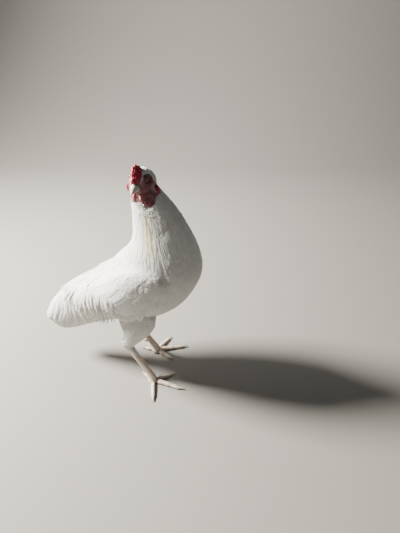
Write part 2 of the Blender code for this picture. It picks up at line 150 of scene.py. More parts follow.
def ball(place, axes, radii, rings=10, sides=16):
    """An ellipsoid: axes are three unit vectors and radii its half sizes along them."""
    points = []
    for i in range(1, rings):
        polar = math.pi * i / rings
        for k in range(sides):
            turn = 2 * math.pi * k / sides
            local = (math.sin(polar) * math.cos(turn), math.sin(polar) * math.sin(turn), math.cos(polar))
            points.append(place + sum((axes[m] * radii[m] * local[m] for m in range(3)), Vector()))
    top, low = len(points), len(points) + 1
    points += [place + axes[2] * radii[2], place - axes[2] * radii[2]]
    faces = []
    for k in range(sides):
        after = (k + 1) % sides
        faces.append((top, k, after))
        faces.append((low, (rings - 2) * sides + after, (rings - 2) * sides + k))
        for i in range(rings - 2):
            faces.append((i * sides + k, (i + 1) * sides + k, (i + 1) * sides + after, i * sides + after))
    return Shape([tuple(p) for p in points], faces)


def mesh_object(name, points, faces):
    mesh = bpy.data.meshes.new(name)
    mesh.from_pydata(points, [], faces, shade_flat=False)
    obj = bpy.data.objects.new(name, mesh)
    bpy.context.scene.collection.objects.link(obj)
    return obj


def settle(obj):
    """Applies obj's modifiers."""
    graph = bpy.context.evaluated_depsgraph_get()
    made = bpy.data.meshes.new_from_object(obj.evaluated_get(graph))
    obj.modifiers.clear()
    old = obj.data
    obj.data = made
    bpy.data.meshes.remove(old)
    made.name = obj.name
    return obj


def remeshed(name, shapes, cell, smoothing):
    """One closed mesh over all the shapes, in cells of that size."""
    points, faces = [], []
    for shape in shapes:
        start = len(points)
        points += shape.points
        faces += [tuple(k + start for k in face) for face in shape.faces]
    obj = mesh_object(name, points, faces)
    cells = obj.modifiers.new("cells", "REMESH")
    cells.mode = "VOXEL"
    cells.voxel_size = cell
    cells.use_smooth_shade = True
    smooth = obj.modifiers.new("smooth", "SMOOTH")
    smooth.factor = 0.5
    smooth.iterations = smoothing
    return settle(obj)


def moved(obj, move):
    """Moves every vertex of obj by move(place, normal)."""
    mesh = obj.data
    normals = [vert.normal.copy() for vert in mesh.vertices]
    for vert, normal in zip(mesh.vertices, normals):
        vert.co = move(vert.co.copy(), normal)
    mesh.update()
    return obj


def united(base, *others):
    for other in others:
        union = base.modifiers.new("union", "BOOLEAN")
        union.operation = "UNION"
        union.solver = "MANIFOLD"
        union.object = other
    settle(base)
    for other in others:
        bpy.data.objects.remove(other)
    base.data.shade_smooth()
    return base


def stand_in(obj, material, slot, *nodes):
    """Gives a finished piece its material and body, and says which nodes it shows; slot is not used."""
    obj.data.materials.clear()
    obj.data.materials.append(material)
    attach(obj, "root")
    if nodes:
        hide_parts(*nodes)


def set_attribute(mesh, name, values):
    layer = mesh.attributes.new(name, "FLOAT", "POINT")
    layer.data.foreach_set("value", np.asarray(values, np.float32))


class Surface:
    """A closed mesh to ask for the nearest point and the smooth normal there."""

    def __init__(self, mesh):
        mesh.calc_loop_triangles()
        self.points = [vert.co.copy() for vert in mesh.vertices]
        self.normals = [vert.normal.copy() for vert in mesh.vertices]
        self.triangles = [tuple(tri.vertices) for tri in mesh.loop_triangles]
        self.tree = BVHTree.FromPolygons(self.points, self.triangles)

    def smooth(self, place, index):
        corners = self.triangles[index]
        weights = poly_3d_calc([self.points[k] for k in corners], place)
        normal = Vector()
        for weight, k in zip(weights, corners):
            normal += self.normals[k] * weight
        return normal.normalized()

    def snap(self, point):
        place, _, index, _ = self.tree.find_nearest(point)
        return place, self.smooth(place, index)

    def cast(self, start, way):
        place, _, index, _ = self.tree.ray_cast(start, way)
        if place is None:
            return None
        return place, self.smooth(place, index)

    def scattered(self, count):
        """Random points of the surface, spread evenly over its area."""
        a, b, c = (np.array(self.points)[np.array(self.triangles)[:, k]] for k in range(3))
        areas = np.linalg.norm(np.cross(b - a, c - a), axis=1) / 2
        for index in random.choices(range(len(areas)), cum_weights=np.cumsum(areas).tolist(), k=count):
            a, b, c = (self.points[k] for k in self.triangles[index])
            u, v = random.random(), random.random()
            if u + v > 1:
                u, v = 1 - u, 1 - v
            yield a + (b - a) * u + (c - a) * v


def surface_over(shapes, cell, smoothing):
    obj = remeshed("surface", shapes, cell, smoothing)
    surface = Surface(obj.data)
    bpy.data.objects.remove(obj)
    return surface


# ---- the line through the bird
BODY_NODES = ("head", "neck_upper", "neck_lower", "trunk_front", "trunk_rear", "tail")
JOINT_GAP = 0.0012  # points of one node that lie this close to the next are on the joint between them


def joint_middle(first, second):
    """The middle of where two neighbouring nodes meet."""
    tree = BVHTree.FromPolygons(*node_shape(second))
    near = [p for p in map(Vector, node_points(first)) if tree.find_nearest(p)[3] < JOINT_GAP]
    return sum(near, Vector()) / len(near)


class Spine:
    """A curve from the head to the tip of the tail. Places on it are metres from its start."""

    STEPS = 40
    TIP_POINTS = 12  # the tail's rearmost points, whose middle is its tip
    MARKS = ("head", "neck", "neck_bend", "shoulders", "loin", "tail_root", "tail", "tip")

    def __init__(self):
        tail = node_points("tail")
        tip = Vector(tail[np.argsort(tail[:, 0])[:self.TIP_POINTS]].mean(0))
        knots = [box_centre("head")]
        for first, second in zip(BODY_NODES, BODY_NODES[1:]):
            if first == "head":
                knots.append(Vector(node_points("neck_upper").mean(0)) * 0.5 + knots[0] * 0.5)
            else:
                knots.append(joint_middle(first, second))
        knots.append(Vector(tail.mean(0)))
        knots.append(tip)
        for knot in knots[1:]:
            knot.y = 0.0
        line = []
        count = len(knots)
        for k in range(count - 1):
            a, b = knots[k], knots[k + 1]
            before = knots[k - 1] if k else a * 2 - b
            after = knots[k + 2] if k + 2 < count else b * 2 - a
            for m in range(self.STEPS):
                f = m / self.STEPS
                bend = (2 * before - 5 * a + 4 * b - after) * f**2 + (3 * a - before - 3 * b + after) * f**3
                line.append((2 * a + (b - before) * f + bend) / 2)
        line.append(knots[-1])
        self.line = np.array(line)
        steps = np.linalg.norm(np.diff(self.line, axis=0), axis=1)
        self.places = np.concatenate([[0.0], np.cumsum(steps)])
        self.length = float(self.places[-1])
        self.marks = {name: self.nearest(knot) for name, knot in zip(self.MARKS, knots)}

    def at(self, place):
        return Vector([float(np.interp(place, self.places, self.line[:, k])) for k in range(3)])

    def way(self, place):
        step = 0.006
        return (self.at(min(place + step, self.length)) - self.at(max(place - step, 0.0))).normalized()

    def nearest(self, point):
        gaps = ((self.line - np.array(point)) ** 2).sum(1)
        return float(self.places[int(gaps.argmin())])

    def coordinates(self, point):
        """Place along the spine and angle round it: 0 on the back, +pi/2 on the left."""
        place = self.nearest(point)
        way = self.way(place)
        back = LEFT.cross(way).normalized()
        offset = point - self.at(place)
        return place, math.atan2(offset.dot(LEFT), offset.dot(back))

    def outwards(self, place, angle):
        way = self.way(place)
        back = LEFT.cross(way).normalized()
        return back * math.cos(angle) + LEFT * math.sin(angle)


spine = Spine()

# ---- the head's frame
eye_left, eye_right = box_centre("eye_left"), box_centre("eye_right")
eyes_middle = (eye_left + eye_right) / 2
head_y = (eye_left - eye_right).normalized()
beak_points = [Vector(p) for p in node_points("beak_upper")]
beak_tip = max(beak_points, key=lambda p: (p - eyes_middle).length)
head_x = beak_tip - eyes_middle
head_x = (head_x - head_y * head_x.dot(head_y)).normalized()
head_x = Quaternion(head_y, math.radians(-BEAK_DIP)) @ head_x
head_z = head_x.cross(head_y).normalized()
HEAD_AXES = (head_x, head_y, head_z)
HEAD_TURN = Matrix(HEAD_AXES).transposed()
HEAD_PLACE = eyes_middle + HEAD_TURN @ Vector(HEAD_ORIGIN)
EYE_RADIUS = (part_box("eye_left")[1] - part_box("eye_left")[0]).z / 2


def in_head(point):
    return HEAD_TURN.transposed() @ (point - HEAD_PLACE)


def from_head(x, y, z):
    return HEAD_PLACE + HEAD_TURN @ Vector((x, y, z))


FACE_REAR = (-0.0095, -0.0160)  # where the bare skin ends, behind the eye and below that, round the ear
BROW_LINE = (0.0160, 0.0060)  # its upper border, and how much higher that runs at the comb
THROAT_LINE = -0.0300  # its lower border
LAPPET_DROP = 0.0165  # how much lower that runs on the lappets beside the throat


def inside_face(point):
    """How far inside the border of the bare red face a point lies, in metres."""
    x, y, z = in_head(point)
    side = abs(y)
    brow = BROW_LINE[0] + BROW_LINE[1] * ease(x, 0.004, 0.014)
    lappet = ease(x, 0.004, 0.027) * ease(side, 0.000, 0.016) * (1 - ease(side, 0.031, 0.046))
    throat = THROAT_LINE - LAPPET_DROP * lappet
    rear = blend(*FACE_REAR, ease(-z, 0.002, 0.010))
    wander = (0.0009 + 0.0013 * lappet) * noise.noise(point * 260)
    return min(x - rear, brow - z, z - throat) + wander


def bareness(point):
    """1 on the bare red face, 0 where feathers grow."""
    return ease(inside_face(point), -0.0008, 0.0008)


# ---- surfaces that the feathers follow
wing_nodes = ("wing_left", "wing_right")
body_shapes = {n: node_shape(n) for n in (*BODY_NODES, *wing_nodes)}
envelope = surface_over(body_shapes.values(), ENVELOPE_CELL, ENVELOPE_SMOOTHING)
node_trees = {n: BVHTree.FromPolygons(*shape) for n, shape in body_shapes.items()}


def nearest_node(point):
    return min(node_trees, key=lambda name: node_trees[name].find_nearest(point)[3])


def body_surface(place, angle):
    """The point of the envelope at a place along the spine and an angle round it."""
    start = spine.at(place)
    hit = envelope.cast(start, spine.outwards(place, angle))
    return hit or envelope.snap(start)


# ---- markings, the same on skin and coat
STAIN_ANGLE = math.radians(-68)  # round the neck from its back; the right side is negative
STAIN_WIDTH = math.radians(11.0)


def stain(point):
    """The cream streak down the side of the throat."""
    place, angle = spine.coordinates(point)
    neck = ease(place, spine.marks["neck_bend"] - 0.020, spine.marks["neck_bend"] + 0.005)
    neck *= 1 - ease(place, spine.marks["shoulders"] - 0.035, spine.marks["shoulders"] + 0.005)
    turn = (angle - STAIN_ANGLE + math.pi) % (2 * math.pi) - math.pi
    streak = math.exp(-((turn / STAIN_WIDTH) ** 2))
    mottled = 1.0 + 0.4 * noise.noise(point * 45)
    return clamp(neck * streak * mottled)


# ---- feathers
class Outline:
    """How a feather's width runs from its root (0) to its tip (1)."""

    @staticmethod
    def contour(s):
        return min(1.0, (s / 0.32) ** 0.7) * math.sqrt(max(0.0, 1 - max(0.0, (s - 0.58) / 0.42) ** 2.4))

    @staticmethod
    def hackle(s):
        return min(1.0, (s / 0.20) ** 0.7) * (1 - 0.96 * max(0.0, (s - 0.30) / 0.70) ** 1.7)

    @staticmethod
    def flight(s):
        return min(1.0, (s / 0.15) ** 0.6) * math.sqrt(max(0.0, 1 - max(0.0, (s - 0.84) / 0.16) ** 2.2))

    @staticmethod
    def scute(s):
        return min(1.0, 0.75 + s) * (1 - 0.35 * max(0.0, (s - 0.6) / 0.4) ** 2)


ALONG_WIDE = (0.0, 0.22, 0.44, 0.62, 0.76, 0.87, 0.95, 1.0)
ALONG_SLIM = (0.0, 0.20, 0.42, 0.64, 0.84, 1.0)
ALONG_LONG = (0.0, 0.10, 0.22, 0.34, 0.46, 0.58, 0.70, 0.80, 0.88, 0.94, 0.98, 1.0)
ALONG_SCUTE = (0.0, 0.35, 0.75, 1.0)
WIDE_RING = (-1.0, -0.5, 0.0, 0.5, 1.0)
SLIM_RING = (-1.0, 0.0, 1.0)
TIP_SHARE = 0.06  # width left at the very tip
BAKE_PATCH = 0.003  # a feather's size on the map of its coat


# The cut of one feather: its outline; the places along and across it where it has points; its half width
# and thickness; its height over the surface at root and tip; how far one edge lifts, how far both edges
# droop, and how uneven it is.
Cut = namedtuple("Cut", "outline along ring half_width thickness low high roll camber ragged")


class Coat:
    """Many feathers, joined in one mesh."""

    def __init__(self, name):
        self.name = name
        self.points, self.faces = [], []
        self.edge, self.across, self.along, self.tone, self.owner = [], [], [], [], []  # for each point
        self.roots = []  # for each feather, a pair of values that tells where on the coat it grows

    def add(self, surface, path, cut, root):
        """One feather. Its path has a (place, way, normal, held) for each of cut.along, and held is False
        where it hangs free of the surface."""
        number = len(self.roots)
        self.roots.append(root)
        tone = random.random()
        ring_size = len(cut.ring) + 1
        start = len(self.points)
        lefts = 1 + cut.ragged * random.uniform(-1, 1)
        rights = 1 + cut.ragged * random.uniform(-1, 1)
        for s, (place, way, normal, held) in zip(cut.along, path):
            side = normal.cross(way).normalized()
            width = cut.half_width * max(cut.outline(s), TIP_SHARE)
            rise = 1 - (1 - s) ** 3
            height = cut.low + (cut.high - cut.low) * rise
            jag_left = width * lefts * (1 + cut.ragged * random.uniform(-1, 1) * s)
            jag_right = width * rights * (1 + cut.ragged * random.uniform(-1, 1) * s)
            middle = None
            for x in cut.ring:
                reach = jag_left if x < 0 else jag_right
                spot = place + side * (x * reach)
                up = normal
                if held and x:
                    found, found_normal = surface.snap(spot)
                    if (found - spot).length < reach + 0.004:
                        spot, up = found, found_normal
                point = spot + up * (height + cut.roll * x * min(1.0, s * 2) - cut.camber * x * x)
                if x == 0:
                    middle = point
                self.points.append(tuple(point))
                self.edge.append(abs(x) == 1.0)
                self.across.append(0.5 + 0.5 * x)
                self.along.append(s)
            self.points.append(tuple(middle - normal * cut.thickness * (1 - 0.6 * s)))
            self.edge.append(False)
            self.across.append(0.5)
            self.along.append(s)
        rings = len(cut.along)
        for i in range(rings - 1):
            low, high = start + i * ring_size, start + (i + 1) * ring_size
            for k in range(ring_size):
                after = (k + 1) % ring_size
                self.faces.append((low + k, low + after, high + after, high + k))
        self.faces.append(tuple(start + k for k in reversed(range(ring_size))))
        self.faces.append(tuple(start + (rings - 1) * ring_size + k for k in range(ring_size)))
        count = rings * ring_size
        self.tone += [tone] * count
        self.owner += [number] * count

    def build(self, material, slot):
        obj = mesh_object(self.name, self.points, self.faces)
        mesh = obj.data
        roots = np.array(self.roots)
        low, high = roots.min(0), roots.max(0)
        spread = (roots - low) / np.maximum(high - low, 1e-6) * 0.97 + 0.015
        owner = np.array(self.owner)
        within = np.stack([self.across, self.along], 1)
        patch = spread[owner] + (within - 0.5) * BAKE_PATCH
        corners = np.empty(len(mesh.loops), np.int32)
        mesh.loops.foreach_get("vertex_index", corners)
        for name, values in (("OFBake", patch), ("vane", within)):
            layer = mesh.uv_layers.new(name=name)
            layer.data.foreach_set("uv", values[corners].astype(np.float32).ravel())
        mesh.uv_layers["OFBake"].active_render = True
        set_attribute(mesh, "tone", self.tone)
        bounds = np.searchsorted(owner, np.arange(len(self.roots) + 1))
        middles = (bounds[1:] + bounds[:-1]) // 2
        stains = np.array([stain(Vector(self.points[k])) for k in middles])
        set_attribute(mesh, "stain", stains[owner])
        edge = np.array(self.edge)
        ends = np.empty(len(mesh.edges) * 2, np.int32)
        mesh.edges.foreach_get("vertices", ends)
        sharp = edge[ends.reshape(-1, 2)].all(1)
        layer = mesh.attributes.new("sharp_edge", "BOOLEAN", "EDGE")
        layer.data.foreach_set("value", sharp)
        stand_in(obj, material, slot)


def march(surface, root, way, length, along, droop=None):
    """A path over the surface from root, starting in that direction and drawn down by droop."""
    place, normal = surface.snap(root)
    way = (way - normal * way.dot(normal)).normalized()
    path = [(place, way, normal, True)]
    for s0, s1 in zip(along, along[1:]):
        step = length * (s1 - s0)
        if droop is not None:
            way = (way + DOWN * droop * (s1 - s0)).normalized()
        place, normal = surface.snap(place + way * step)
        way = (way - normal * way.dot(normal)).normalized()
        path.append((place, way, normal, True))
    return path


Seed = namedtuple("Seed", "point node place angle")


def sow(surface, count):
    """Random points of the surface, each with the node it lies over and its place on the bird."""
    return [Seed(p, nearest_node(p), *spine.coordinates(p)) for p in surface.scattered(count)]


def spaced(seeds, spacing):
    """As many of the seeds as lie at least spacing apart."""
    grid = {}
    kept = []
    for seed in seeds:
        cell = tuple(int(math.floor(value / spacing)) for value in seed.point)
        around = (
            other
            for i in (-1, 0, 1)
            for j in (-1, 0, 1)
            for k in (-1, 0, 1)
            for other in grid.get((cell[0] + i, cell[1] + j, cell[2] + k), ())
        )
        if any((other - seed.point).length < spacing for other in around):
            continue
        grid.setdefault(cell, []).append(seed.point)
        kept.append(seed)
    return kept


# A tract is a kind of feather: its spacing, length and cut, how strongly it is drawn down, and how far its
# direction strays, in degrees.
Tract = namedtuple(
    "Tract", "spacing length half_width outline along ring thickness low high roll camber ragged droop spread"
)
TINY = Tract(0.0026, 0.0090, 0.0026, Outline.contour, ALONG_SLIM, SLIM_RING, 0.0003,
             -0.0010, 0.0002, 0.0001, 0.0001, 0.20, 0.0, 14)
NAPE = Tract(0.0036, 0.0190, 0.0027, Outline.hackle, ALONG_SLIM, SLIM_RING, 0.0003,
             -0.0016, 0.0003, 0.0002, 0.0002, 0.20, 0.1, 8)
HACKLE = Tract(0.0046, 0.0500, 0.0044, Outline.hackle, ALONG_WIDE, SLIM_RING, 0.0003,
               -0.0017, 0.0003, 0.0002, 0.0005, 0.08, 0.2, 3)
CAPE = Tract(0.0054, 0.0780, 0.0052, Outline.hackle, ALONG_WIDE, SLIM_RING, 0.0003,
             -0.0018, 0.0005, 0.0002, 0.0006, 0.08, 0.3, 3)
THROAT = Tract(0.0046, 0.0240, 0.0048, Outline.contour, ALONG_WIDE, SLIM_RING, 0.0003,
               -0.0015, 0.0005, 0.0002, 0.0002, 0.10, 0.1, 8)
BREAST = Tract(0.0066, 0.0310, 0.0070, Outline.contour, ALONG_WIDE, WIDE_RING, 0.0003,
               -0.0017, 0.0006, 0.0002, 0.0002, 0.09, 0.1, 8)
BACK = Tract(0.0074, 0.0400, 0.0076, Outline.contour, ALONG_WIDE, WIDE_RING, 0.0003,
             -0.0017, 0.0002, 0.0001, 0.0002, 0.09, 0.1, 5)
SADDLE = Tract(0.0062, 0.0900, 0.0048, Outline.hackle, ALONG_WIDE, SLIM_RING, 0.0003,
               -0.0016, 0.0024, 0.0004, 0.0009, 0.08, 1.2, 5)
CURTAIN = Tract(0.0066, 0.1240, 0.0058, Outline.hackle, ALONG_WIDE, SLIM_RING, 0.0003,
                -0.0016, 0.0034, 0.0003, 0.0009, 0.06, 0.9, 3)
EDGE = CURTAIN._replace(spacing=0.0052, length=0.0900, low=0.0004, high=0.0062)
FLANK = Tract(0.0054, 0.0400, 0.0052, Outline.contour, ALONG_WIDE, SLIM_RING, 0.0003,
              -0.0016, 0.0010, 0.0003, 0.0004, 0.22, 0.4, 9)
BELLY = Tract(0.0062, 0.0320, 0.0054, Outline.contour, ALONG_WIDE, SLIM_RING, 0.0003,
              -0.0020, 0.0007, 0.0003, 0.0002, 0.28, 0.3, 12)
COVERT = Tract(0.0068, 0.0280, 0.0070, Outline.contour, ALONG_WIDE, WIDE_RING, 0.0003,
               -0.0018, 0.0005, 0.0004, 0.0002, 0.14, 0.25, 7)
THIGH = Tract(0.0050, 0.0260, 0.0046, Outline.contour, ALONG_WIDE, SLIM_RING, 0.0003,
              -0.0020, 0.0005, 0.0003, 0.0002, 0.24, 0.2, 9)


def vary(tract, size=1.0):
    return Cut(
        tract.outline,
        tract.along,
        tract.ring,
        tract.half_width * size * random.uniform(0.86, 1.14),
        tract.thickness,
        tract.low,
        tract.high * random.uniform(0.3, 1.7),
        tract.roll * random.uniform(-1.5, 1.5),
        tract.camber,
        tract.ragged,
    )


def hung(path, along, length, begin, droop):
    """The same path with its end, from the share begin on, hanging free and drawn down by droop."""
    made = list(path)
    for k in range(1, len(along)):
        if along[k] <= begin:
            continue
        place, way, normal, _ = made[k - 1]
        way = (way + DOWN * droop * (along[k] - along[k - 1])).normalized()
        normal = (normal - way * normal.dot(way)).normalized()
        made[k] = (place + way * length * (along[k] - along[k - 1]), way, normal, False)
    return made


FREE_DROOP = 1.2  # how strongly what hangs free is drawn down
LENGTHS = (0.85, 1.15)  # feathers of one tract differ by this much


def cover(coat, surface, seeds, tract, way_at, size_at=None, past=None):
    """Grows a tract of feathers from the seeds. From where past(step) is true they hang free."""
    for seed in spaced(seeds, tract.spacing):
        size = size_at(seed) if size_at else 1.0
        length = tract.length * size * random.uniform(*LENGTHS)
        _, normal = surface.snap(seed.point)
        way = Quaternion(normal, math.radians(random.gauss(0, tract.spread))) @ way_at(seed)
        path = march(surface, seed.point, way, length, tract.along, tract.droop)
        beyond = [k for k, step in enumerate(path) if past(step)] if past else []
        if beyond and beyond[0] > 1:
            path = hung(path, tract.along, length, tract.along[beyond[0] - 1], FREE_DROOP)
        coat.add(surface, path, vary(tract, math.sqrt(size)), (seed.angle, seed.place))


def tailwards(seed):
    return spine.way(seed.place)


def through(spots):
    """A path through (place, normal) spots that lie on a surface."""
    path = []
    for k, (place, normal) in enumerate(spots):
        before = spots[max(k - 1, 0)][0]
        after = spots[min(k + 1, len(spots) - 1)][0]
        way = after - before
        way = (way - normal * way.dot(normal)).normalized()
        path.append((place, way, normal, True))
    return path


# ---- body coats
SEED_COUNT = 60000
seeds = sow(envelope, SEED_COUNT)
BODY_SEEDS = {name: [s for s in seeds if s.node == name] for name in (*BODY_NODES, *wing_nodes)}
marks = spine.marks


def angle_of(seed):
    return abs(math.degrees(seed.angle))


def head_way(seed):
    """Feathers of the head point back and down its rear."""
    x, _, z = in_head(seed.point)
    steep = max(ease(-x, 0.0, 0.034), ease(-z, 0.012, 0.026))
    return -head_x * (1 - steep) - UP * steep


coats = []


HEAD_TRIES = 5  # more seeds, scattered round each seed of the head and the upper neck
HEAD_JITTER = 0.0030


def head_coat():
    coat = Coat("feathers_head")
    near = [s for s in seeds if s.node in ("head", "neck_upper")]
    extra = []
    for seed in near:
        for _ in range(HEAD_TRIES):
            jitter = Vector([random.gauss(0, HEAD_JITTER) for _ in range(3)])
            point, _ = envelope.snap(seed.point + jitter)
            extra.append(Seed(point, seed.node, *spine.coordinates(point)))
    first = []
    for seed in (s for s in extra if bareness(s.point) < 0.5):
        border = -0.003 - 0.012 * random.random()
        if inside_face(seed.point) > border or seed.place < marks["head"] + 0.024:
            first.append(seed)
    cover(coat, envelope, first, TINY, head_way, lambda s: 1 + 0.9 * ease(-in_head(s.point).x, 0.005, 0.030))
    return coat, "body_plumage"


def neck_coat():
    coat = Coat("feathers_neck")
    upper = [s for s in BODY_SEEDS["neck_upper"] if bareness(s.point) < 0.5]
    start = marks["head"] + 0.012
    nape = [s for s in upper if s.place < start + 0.040]
    rear = [s for s in upper if s.place >= start + 0.015 and angle_of(s) < 125]
    front = [s for s in upper if angle_of(s) >= 110]
    cover(coat, envelope, nape, NAPE, lambda s: (tailwards(s) + DOWN).normalized())
    cover(coat, envelope, rear, HACKLE, tailwards)
    cover(coat, envelope, front, THROAT, tailwards)
    return coat, "body_plumage"


def cape_coat():
    coat = Coat("feathers_cape")
    lower = BODY_SEEDS["neck_lower"]
    cover(coat, envelope, [s for s in lower if angle_of(s) < 118], CAPE, tailwards,
          lambda s: 0.8 + 0.3 * ease(s.place, marks["neck_bend"], marks["shoulders"]))
    cover(coat, envelope, [s for s in lower if angle_of(s) >= 108], BREAST, tailwards, lambda s: 0.92)
    return coat, "body_plumage"


def breast_coat():
    coat = Coat("feathers_breast")
    cover(coat, envelope, [s for s in BODY_SEEDS["trunk_front"] if angle_of(s) >= 60], BREAST, tailwards)
    return coat, "body_plumage"


def back_coat():
    coat = Coat("feathers_back")
    cover(coat, envelope, [s for s in BODY_SEEDS["trunk_front"] if angle_of(s) < 66], BACK, tailwards)
    cover(coat, envelope, [s for s in BODY_SEEDS["trunk_rear"] if angle_of(s) < 60], BACK, tailwards)
    return coat, "body_plumage"


THIGH_BOXES = {side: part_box("thigh_" + side) for side in SIDES}


def over_thigh(seed):
    """True on the lower flank, above a thigh."""
    low, high = THIGH_BOXES["left" if seed.angle > 0 else "right"]
    if seed.node == "tail" or not low.x - 0.010 < seed.point.x < high.x + 0.012:
        return False
    return -0.45 < envelope.snap(seed.point)[1].z < 0.05 and seed.point.z < high.z + 0.06


def belly_coat():
    coat = Coat("feathers_belly")
    flank = [s for s in seeds if over_thigh(s)]
    cover(coat, envelope, flank, FLANK, lambda s: (DOWN + tailwards(s) * 0.3).normalized(), None,
          lambda step: step[2].z < -0.40)
    low = [s for s in BODY_SEEDS["trunk_rear"] if angle_of(s) >= 95]
    cover(coat, envelope, low, BELLY, tailwards)
    return coat, "body_plumage"


def saddle_coat():
    coat = Coat("feathers_saddle")
    rear = marks["loin"] + 0.078  # where the hanging hackles end, over the root of the tail
    top = [s for s in seeds if angle_of(s) < 46 and rear - 0.070 < s.place < marks["tail_root"] - 0.020]
    sides = [s for s in seeds if 14 < angle_of(s) < 74 and marks["loin"] - 0.005 < s.place < rear]
    edge = [s for s in seeds if 18 < angle_of(s) < 60 and rear - 0.012 < s.place < rear]

    def flow(seed):
        return (tailwards(seed) + DOWN * 0.8 * abs(math.sin(seed.angle))).normalized()

    def falling(rearwards):
        def way(seed):
            side = LEFT * math.copysign(0.4, seed.angle)
            return (DOWN + side + tailwards(seed) * rearwards).normalized()

        return way

    def underneath(step):
        return step[2].z < -0.5

    cover(coat, envelope, top, SADDLE, flow)
    cover(coat, envelope, edge, EDGE, falling(0.1), lambda s: blend(1.1, 0.7, ease(angle_of(s), 18, 60)),
          underneath)
    cover(coat, envelope, sides, CURTAIN, falling(0.55),
          lambda s: blend(1.25, 0.72, ease(angle_of(s), 14, 74)), underneath)
    return coat, "loose_feathers"


for make in (head_coat, neck_coat, cape_coat, breast_coat, back_coat, belly_coat, saddle_coat):
    coats.append(make())


# ---- wings
class Wing:
    BINS = 15

    def __init__(self, side):
        self.side = side
        self.sign = SIDES[side]
        spots = [spine.coordinates(Vector(p)) for p in node_points("wing_" + side)]
        places = np.array([s[0] for s in spots])
        angles = np.abs([s[1] for s in spots])
        self.start, self.end = float(places.min()), float(places.max())
        window = (self.end - self.start) * 0.07
        spans = []
        for k in range(self.BINS):
            middle = blend(self.start, self.end, k / (self.BINS - 1))
            near = angles[np.abs(places - middle) < window]
            spans.append((near.min(), near.max()))
        self.spans = np.array(spans)

    def span(self, u):
        shares = np.linspace(0, 1, self.BINS)
        return [float(np.interp(u, shares, self.spans[:, k])) for k in (0, 1)]

    def spot(self, u, v, fall=0.0):
        upper, lower = self.span(u)
        return body_surface(blend(self.start, self.end, u), self.sign * (blend(upper, lower, v) + fall))

    def place_of(self, seed):
        u = (seed.place - self.start) / (self.end - self.start)
        upper, lower = self.span(clamp(u))
        return u, (abs(seed.angle) - upper) / max(lower - upper, 1e-3)


# v runs over the wing's width from its upper edge and u along its length; fall is in degrees round the body.
WingRow = namedtuple("WingRow", "count v0 v1 u_root u_tip half_width drift fall low high roll")
WING_ROWS = (
    WingRow(7, 0.80, 1.02, 0.50, 0.95, 0.0070, 0.12, 38, -0.0020, -0.0006, 0.0005),  # primaries
    WingRow(14, 0.04, 0.98, 0.42, 0.95, 0.0104, 0.16, 30, -0.0018, 0.0022, 0.0008),  # secondaries
    WingRow(15, 0.03, 0.97, 0.34, 0.62, 0.0094, 0.07, 3, -0.0014, 0.0018, 0.0006),  # greater coverts
    WingRow(16, 0.03, 0.97, 0.27, 0.48, 0.0084, 0.05, 0, -0.0012, 0.0017, 0.0005),  # middle coverts
)
COVERTS_END = 0.36  # the small coverts cover the wing up to this share of its length,
COVERTS_WAVE = 0.05  # in a border that waves by this much
WING_STAGGER = 0.035  # a row's tips fall short of their line by up to this share of the wing's length


def wing_coat(side):
    wing = Wing(side)
    coat = Coat("feathers_wing_" + side)
    for row in WING_ROWS:
        for k in range(row.count):
            share = k / (row.count - 1)
            v_root = blend(row.v0, row.v1, share)
            reach = row.u_tip - random.uniform(0, WING_STAGGER) - 0.10 * (0.5 - share) ** 2
            spots = []
            for s in ALONG_LONG:
                u = blend(row.u_root, reach, s)
                fall = math.radians(row.fall) * (0.35 + 0.65 * share) * s**3
                spots.append(wing.spot(u, v_root + row.drift * s**1.8, fall))
            cut = Cut(
                Outline.flight, ALONG_LONG, WIDE_RING, row.half_width * random.uniform(0.92, 1.08), 0.0005,
                row.low, row.high + random.uniform(-0.0003, 0.0003), -row.roll * wing.sign, 0.0006, 0.07,
            )
            coat.add(envelope, through(spots), cut, (v_root, row.u_root))
    seeds_here = []
    for seed in BODY_SEEDS["wing_" + side]:
        u, v = wing.place_of(seed)
        if u < COVERTS_END + COVERTS_WAVE * math.sin(v * 9):
            seeds_here.append(seed)

    def flow(seed):
        return (tailwards(seed) + DOWN * 0.25).normalized()

    cover(coat, envelope, seeds_here, COVERT, flow)
    return coat, "loose_feathers"


for side in SIDES:
    coats.append(wing_coat(side))


# ---- tail
STIFF_FEATHERS = 9
SICKLES = 44
# Each sickle's values are drawn from these: degrees round the tail at root and tip, how far it reaches along
# the tail, its half width, and its height over the tail at its tip.
SICKLE_ROOT, SICKLE_TIP = (2, 50), (125, 170)
SICKLE_REACH = (0.050, 0.080)
SICKLE_WIDTH = (0.0060, 0.0105)
SICKLE_HEIGHT = (0.0012, 0.0036)


